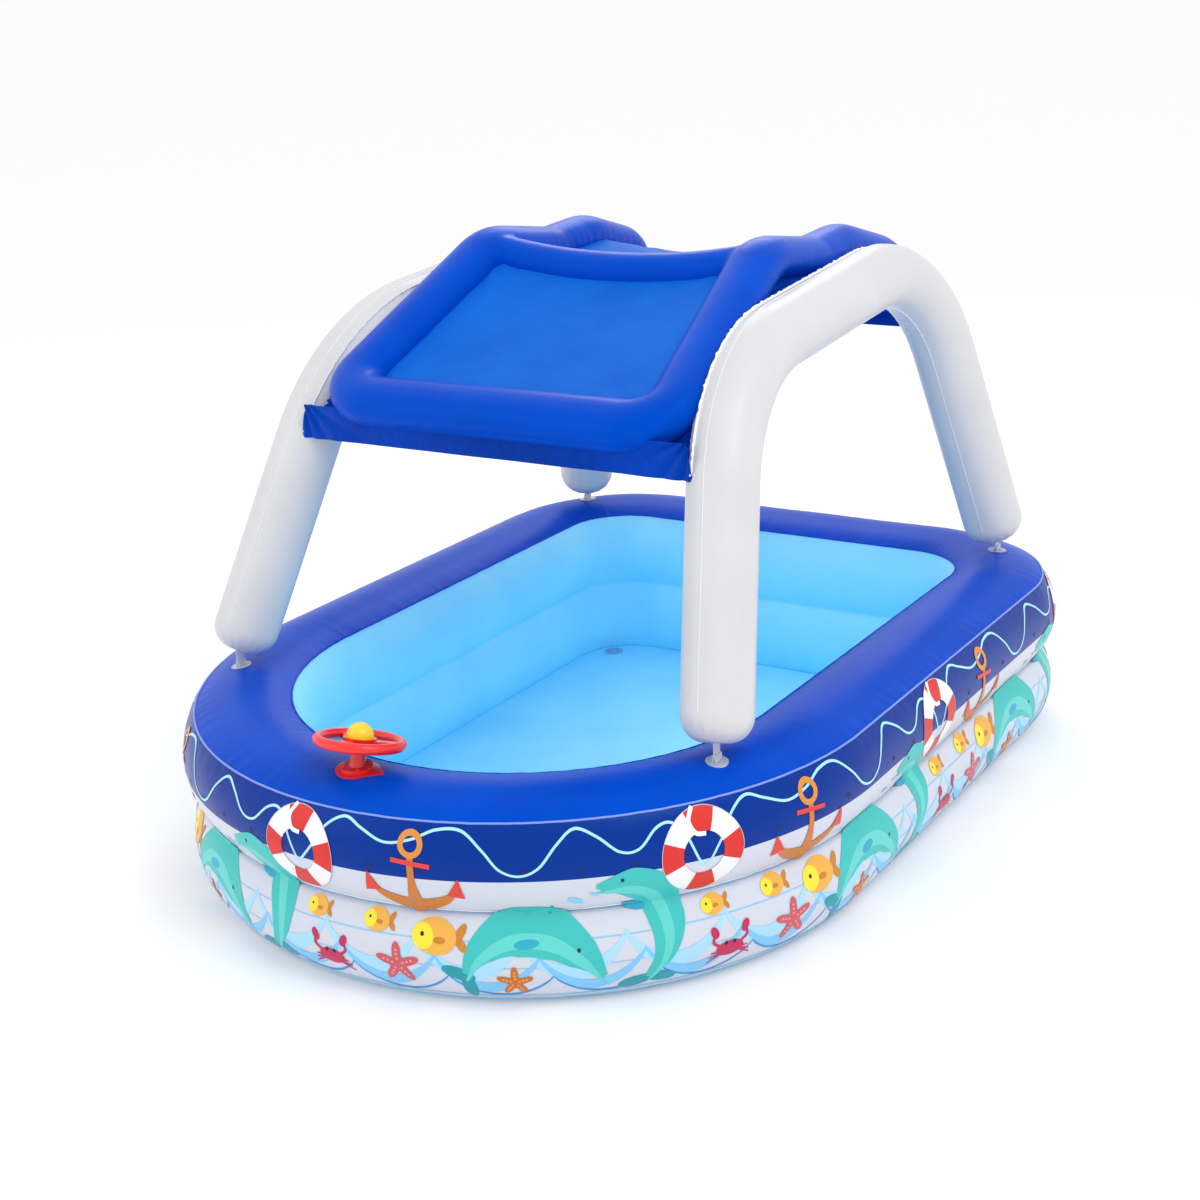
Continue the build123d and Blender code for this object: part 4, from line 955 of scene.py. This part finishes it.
def loop_grid():
    """Rings round the canopy's loop, gathered on the inside of its corners."""
    shape = bpy.context.scene.pool_shade
    line = loop_line()
    across, up, t = ring_frames(line, True)
    run = lengths(line)
    total = run[-1] + np.linalg.norm(line[0] - line[-1])
    around = np.linspace(0, 2 * math.pi, 56, endpoint=False)
    bend = np.linalg.norm(np.roll(t, -1, 0) - t, axis=1)
    kernel = np.ones(21) / 21
    bend = np.convolve(np.concatenate([bend[-10:], bend, bend[:10]]), kernel, "valid")
    bend = np.clip(bend / bend.max() * 1.5, 0, 1)
    inside = np.clip(-np.cos(around), 0, 1) ** 2
    strength = (0.25 + 0.75 * bend)[:, None]
    wrinkle = np.abs(ripple(run, total, 0.03, 0.07, 71))[:, None] * inside[None] * strength
    edge = np.exp(-(np.sin(around) / 0.2) ** 2)[None] * np.abs(ripple(run, total, 0.035, 0.10, 72))[:, None]
    share = 1 - (1.4 * shape.bend_wrinkle * wrinkle + 0.0016 * edge) / TUBE_R
    wide = TUBE_WIDE * np.cos(around)[None, :, None] * across[:, None]
    return line[:, None] + share[..., None] * (wide + TUBE_HIGH * np.sin(around)[None, :, None] * up[:, None])


def ridge_grid():
    """Rings round the sagging ridge tube, from rail to rail."""
    y, z = RAIL[1]
    half = rail_half_width(z) + float(rail_spread(y))
    x = np.linspace(-half, half, 110)
    line = np.stack([x, np.full_like(x, y), z - RIDGE_DROP - ridge_sag(x, half)], -1)
    t = tangents(line)
    forward = np.tile([0.0, 1.0, 0.0], (len(x), 1))
    up = np.cross(t, forward)
    around = np.linspace(0, 2 * math.pi, 48, endpoint=False)
    ends = np.exp(-(half - np.abs(x)) / 0.05)
    pinch = ends[:, None] * np.abs(np.sin(5 * around + 0.4))[None]
    radius = RIDGE_R - 0.003 * pinch
    ring = np.cos(around)[None, :, None] * forward[:, None] + np.sin(around)[None, :, None] * up[:, None]
    return line[:, None] + radius[..., None] * ring


def build_canopy_tube():
    """Loop and ridge as one skin: both meshes are joined by a fine voxel remesh and smoothed."""
    loop, ridge = loop_grid(), ridge_grid()
    loop_faces = grid_faces(*loop.shape[:2], True, True)[0]
    ridge_faces = grid_faces(*ridge.shape[:2], False, True)[0] + loop.shape[0] * loop.shape[1]
    rows, columns = ridge.shape[:2]
    first = loop.shape[0] * loop.shape[1]
    centre = first + rows * columns
    around = np.arange(columns)
    following = (around + 1) % columns
    last = first + (rows - 1) * columns
    caps = np.concatenate([
        np.stack([np.full(columns, centre), first + around, first + following], -1),
        np.stack([np.full(columns, centre + 1), last + following, last + around], -1)])
    poles = np.stack([ridge[0].mean(0), ridge[-1].mean(0)])
    points = np.concatenate([loop.reshape(-1, 3), ridge.reshape(-1, 3), poles])
    mesh = bpy.data.meshes.new("canopy_rough")
    mesh.from_pydata(points.tolist(), [], loop_faces.tolist() + ridge_faces.tolist() + caps.tolist())
    rough = bpy.data.objects.new("canopy_rough", mesh)
    bpy.context.scene.collection.objects.link(rough)
    remesh = rough.modifiers.new("one_skin", "REMESH")
    remesh.mode, remesh.voxel_size, remesh.use_smooth_shade = "VOXEL", SKIN_VOXEL, True
    smooth = rough.modifiers.new("soften", "SMOOTH")
    smooth.factor, smooth.iterations = 0.5, 5
    skin = bpy.data.meshes.new_from_object(rough.evaluated_get(bpy.context.evaluated_depsgraph_get()))
    bpy.data.objects.remove(rough)
    if len(skin.polygons) < 1000:
        raise RuntimeError("the canopy's remesh came out empty")
    skin.materials.clear()
    skin.materials.append(FINISH["canopy_film"])
    skin.polygons.foreach_set("use_smooth", np.ones(len(skin.polygons), bool))
    made = bpy.data.objects.new("canopy_tube", skin)
    bpy.context.scene.collection.objects.link(made)
    settle(made, "sunshade", "canopy_film", "canopy_top_sheet", "canopy_bottom_sheet")


def panel_grid(first, last, sag_at_first, seed):
    """Panel between two cross tubes: follows the rails, hangs with the ridge, fans out at its corners."""
    shape = bpy.context.scene.pool_shade
    line = side_line()
    y = np.linspace(first, last, 110)
    z = np.interp(y, line[:, 1], line[:, 2])
    half = rail_half_width(z) + rail_spread(y) - 0.022
    u = np.linspace(-1, 1, 120)
    x = half[:, None] * u[None]
    v = np.linspace(0, 1, len(y))
    hang = (1 - v) if sag_at_first else v
    ridge_half = rail_half_width(RAIL[1][1])
    sag = ridge_sag(x, ridge_half) * hang[:, None] ** 1.5
    deep = 0.034 if sag_at_first else 0.012
    bow = deep * np.sin(math.pi * v)[:, None] * np.cos(math.pi * u / 2)[None]
    fan = 0
    for cu, cv in ((-1, 0), (1, 0), (-1, 1), (1, 1)):
        angle = np.arctan2((v[:, None] - cv) * abs(last - first), (u[None] - cu) * half.mean())
        away = np.hypot((v[:, None] - cv) * abs(last - first), (u[None] - cu) * half.mean())
        fan = fan + np.exp(-away / 0.11) * np.sin(17 * angle + seed + cu + 2 * cv)
    edge_u = np.exp(-(1 - np.abs(u)) * half.mean() / 0.03)[None] * ripple(y, 1.0, 0.035, 0.08, seed)[:, None]
    edge_v = (np.exp(-v * abs(last - first) / 0.03) + np.exp(-(1 - v) * abs(last - first) / 0.03))[:, None]
    edge_v = edge_v * ripple(u * half.mean(), 1.0, 0.035, 0.08, seed + 1)[None]
    height = z[:, None] - sag - bow + shape.panel_wrinkle * (fan + 0.5 * edge_u + 0.5 * edge_v)
    points = np.stack([x, np.broadcast_to(y[:, None], x.shape), height], -1)
    return points[:, ::-1]


def build_panels():
    """Front and rear panels, single films inside the air tube."""
    y0, y1, y2 = RAIL[0][0], RAIL[1][0], RAIL[-1][0]
    for name, first, last, ridge_first, seed in (("front", y0, y1, False, 81), ("rear", y1, y2, True, 85)):
        points = panel_grid(first, last, ridge_first, seed)
        made = thicken(grid_object("canopy_%s_web" % name, points, [FINISH["canopy_panel_film"]]))
        settle(made, "sunshade", "canopy_panel_film", "canopy_%s_panel" % name)


def valance_grid(low, high, top, half_at, seed):
    """Hanging strip between the arches: straight hem, creases that fan out from its two upper corners."""
    z = np.linspace(low.z, top, 34)
    share = (z - low.z) / (top - low.z)
    half = half_at(z)
    u = np.linspace(-1, 1, 320)
    x = half[:, None] * u[None]
    corner = np.exp(-(1 - np.abs(u)) * half.mean() / 0.085)
    angle = np.arctan2(1.15 - share[:, None], (1 - np.abs(u))[None] * 7 + 0.12)
    fan = corner[None] * (1 - 2 * np.abs(np.sin(8 * angle + seed)))
    slow = ripple(x.mean(0), 1.0, 0.09, 0.25, seed)[None] * (1 - 0.6 * share[:, None])
    fine = ripple(x.mean(0), 1.0, 0.025, 0.06, seed + 1)[None] * np.exp(-(1 - share[:, None]) / 0.25)
    y = (low.y + high.y) / 2 + 0.0038 * fan + 0.0024 * slow + 0.0014 * fine
    return np.stack([x, y, np.broadcast_to(z[:, None], x.shape)], -1)


def build_valances():
    """Front and rear hanging strips under the canopy's end tubes."""
    def at_arch(z):
        return FOOT_X - math.tan(LEAN) * (z - RIM_TOP) - ARCH_R * math.sin(FILM_TURN)

    for name, low, high, tube, seed in (
            ("front", FRONT_LOW, FRONT_HIGH, RAIL[0], 91), ("rear", REAR_LOW, REAR_HIGH, RAIL[-1], 95)):
        points = valance_grid(low, high, tube[1] - HEM_TUCK, at_arch, seed)
        made = thicken(grid_object(name + "_hem_strip", points, [FINISH["canopy_strip_film"]]))
        settle(made, "sunshade", "canopy_film", name + "_valance")


def flange_grid():
    """Film from the arch's weld down into the crease beside the rail tube, crumpled unevenly."""
    outer, _, outward = film_weld()
    loop = loop_line()
    rail = loop[loop[:, 0] > 0]
    start = outer - ARCH_NORMAL * 0.09
    far = rail[np.linalg.norm(start[:, None] - rail[None], axis=2).argmin(1)]
    kernel = np.ones(9) / 9
    padded = np.concatenate([np.repeat(far[:1], 4, 0), far, np.repeat(far[-1:], 4, 0)])
    far = np.stack([np.convolve(padded[:, k], kernel, "valid") for k in range(3)], -1)
    run = lengths(outer)
    v = np.linspace(0, 1, 34)
    points = outer[:, None] * (1 - v[None, :, None]) + far[:, None] * v[None, :, None]
    across = np.sin(math.pi * np.clip(v, 0, 0.7) / 0.7)
    drift = 0.03 * np.sin(9 * v)[None] + 0.02 * ripple(run, run[-1], 0.2, 0.4, 103)[:, None] * v[None]
    sharp = 1 - 2 * np.abs(ripple(run[:, None] + drift, run[-1], 0.016, 0.05, 101))
    cross = ripple(run[:, None] - 2 * drift, run[-1], 0.05, 0.13, 102)
    crumple = (0.0042 * sharp * (0.6 + 0.4 * cross) + 0.003 * cross) * across[None]
    valley = 0.026 * np.sin(math.pi * v)[None]
    return points + (crumple - valley)[..., None] * outward[:, None]


def build_flanges():
    """Side films of the sunshade, one a side."""
    for name, turn in SIDES:
        points = flange_grid()
        made = thicken(grid_object(name + "_side_film", turn(points), [FINISH["canopy_strip_film"]]))
        settle(made, "sunshade", "canopy_film", name + "_side_flange")


# ---------------------------------------------------------------- CAD parts and stage

def finish_cad_parts():
    """Procedural materials on every CAD node that still shows."""
    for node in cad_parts.values():
        if node.hide_render:
            continue
        for place in node.material_slots:
            name = place.material.name.split(".")[0]
            if name not in FINISH:
                raise RuntimeError("no finish for the slot " + name)
            place.material = FINISH[name]


def soft_light(name, place, aim, size, power):
    """Square area light of a size in metres that looks at a point."""
    light = bpy.data.lights.new(name, "AREA")
    light.shape, light.size, light.energy = "SQUARE", size, power
    lamp = bpy.data.objects.new(name, light)
    way = np.array(place, float) - np.array(aim, float)
    way /= np.linalg.norm(way)
    side = np.cross([0, 0, 1.0], way)
    side /= np.linalg.norm(side)
    up = np.cross(way, side)
    lamp.matrix_world = Matrix([*zip(side, up, way, place), (0, 0, 0, 1)])
    bpy.context.scene.collection.objects.link(lamp)


def build_stage():
    """Pale floor, soft studio light and the camera."""
    look = bpy.context.scene.pool_stage
    t = np.linspace(-FLOOR_REACH, FLOOR_REACH, 9)
    points = np.stack([*np.meshgrid(t, t, indexing="ij"), np.full((9, 9), -FLOOR_DROP)], -1)
    matte = surface("matte_white_studio_floor", "#FFFFFF", 0.95, None, Specular_IOR_Level=0.1)
    floor = grid_object("studio_floor", points, [matte])
    world = bpy.data.worlds.new("studio_world")
    world.use_nodes = True
    sky = world.node_tree.nodes["Background"].inputs
    sky["Color"].default_value, sky["Strength"].default_value = colour("#FFFFFF"), look.ambient
    bpy.context.scene.world = world
    for name, light in LIGHTS.items():
        soft_light(name + "_light", *light, getattr(look, name + "_power"))
    lens = bpy.data.cameras.new("view_camera")
    lens.sensor_width, lens.lens = SENSOR_MM, LENS_MM
    lens.shift_x, lens.shift_y = LENS_SHIFT
    camera = bpy.data.objects.new("view_camera", lens)
    camera.matrix_world = Matrix([*zip(*CAMERA_AXES, CAMERA_PLACE), (0, 0, 0, 1)])
    bpy.context.scene.collection.objects.link(camera)
    bpy.context.scene.camera = camera
    bpy.context.scene.view_settings.view_transform = "Standard"


# ---------------------------------------------------------------- add-on

def slider(name, text, default, unit="LENGTH"):
    """One named value in the sidebar."""
    return bpy.props.FloatProperty(name=name, description=text, default=default, unit=unit)


class PoolShape(bpy.types.PropertyGroup):
    """Shape of the pool's films."""
    gather_depth: slider("Gather depth", "Depth of the gathers along the welds", 0.0016)
    gather_reach: slider("Gather reach", "Distance over which gathers fade", 0.022)


class PoolPrint(bpy.types.PropertyGroup):
    """Print on the outer wall."""
    layer_lift: slider("Layer lift", "Height of one ink layer over the next", 0.0003)


class PoolShade(bpy.types.PropertyGroup):
    """Shape of the sunshade's films."""
    bend_wrinkle: slider("Bend wrinkle", "Depth of wrinkles inside a tube's bends", 0.0035)
    panel_wrinkle: slider("Panel wrinkle", "Height of the wrinkles of the canopy's panels", 0.0032)


class PoolStage(bpy.types.PropertyGroup):
    """Light of the studio."""
    key_power: slider("Key", "Key light", 64.0, "POWER")
    fill_power: slider("Fill", "Fill light", 24.0, "POWER")
    back_power: slider("Back", "Back light", 30.0, "POWER")
    ambient: slider("Ambient", "World light strength", 0.97, "NONE")


class PoolStep:
    """What every step does: it runs its builders in order."""
    builders = ()

    def execute(self, context):
        for build in self.builders:
            build()
        return {"FINISHED"}


class POOL_OT_rings(PoolStep, bpy.types.Operator):
    """Builds the pool's two air rings, weld beads and floor"""
    bl_idname = "pool.rings"
    bl_label = "Air rings and floor"
    builders = (build_rings, build_beads, build_floor,)


class POOL_OT_print(PoolStep, bpy.types.Operator):
    """Lays the printed sea motifs on the outer wall"""
    bl_idname = "pool.sea_print"
    bl_label = "Printed motifs"
    builders = (build_print,)


class POOL_OT_arches(PoolStep, bpy.types.Operator):
    """Builds both arches and their weld flanges"""
    bl_idname = "pool.arches"
    bl_label = "Arches"
    builders = (build_arches,)


class POOL_OT_canopy(PoolStep, bpy.types.Operator):
    """Builds the canopy's tube and its two panels"""
    bl_idname = "pool.canopy"
    bl_label = "Canopy"
    builders = (build_canopy_tube, build_panels,)


class POOL_OT_strips(PoolStep, bpy.types.Operator):
    """Builds the hem strips and the side films"""
    bl_idname = "pool.strips"
    bl_label = "Hem strips and side films"
    builders = (build_valances, build_flanges,)


class POOL_OT_fittings(PoolStep, bpy.types.Operator):
    """Gives the moulded fittings their finishes"""
    bl_idname = "pool.fittings"
    bl_label = "Fittings"
    builders = (finish_cad_parts,)


class POOL_OT_stage(PoolStep, bpy.types.Operator):
    """Sets the floor, the lights and the camera"""
    bl_idname = "pool.stage"
    bl_label = "Stage"
    builders = (build_stage,)


STEPS = (
    POOL_OT_rings, POOL_OT_print, POOL_OT_arches, POOL_OT_canopy, POOL_OT_strips, POOL_OT_fittings,
    POOL_OT_stage,
)
GROUPS = {
    "pool_shape": PoolShape, "pool_print": PoolPrint, "pool_shade": PoolShade, "pool_stage": PoolStage,
}


class POOL_PT_panel(bpy.types.Panel):
    """Lists the steps in the sidebar"""
    bl_idname = "POOL_PT_panel"
    bl_label = "Pool boat"
    bl_space_type = "VIEW_3D"
    bl_region_type = "UI"
    bl_category = "Pool boat"

    def draw(self, context):
        for step in STEPS:
            self.layout.operator(step.bl_idname)


def register():
    for group in GROUPS.values():
        bpy.utils.register_class(group)
    for name, group in GROUPS.items():
        setattr(bpy.types.Scene, name, bpy.props.PointerProperty(type=group))
    for item in (*STEPS, POOL_PT_panel):
        bpy.utils.register_class(item)


def unregister():
    for item in (*STEPS, POOL_PT_panel):
        bpy.utils.unregister_class(item)
    for name in GROUPS:
        delattr(bpy.types.Scene, name)
    for group in GROUPS.values():
        bpy.utils.unregister_class(group)


def main():
    register()
    make_finishes()
    for step in STEPS:
        family, name = step.bl_idname.split(".")
        getattr(getattr(bpy.ops, family), name)()


if __name__ == "__main__":
    main()
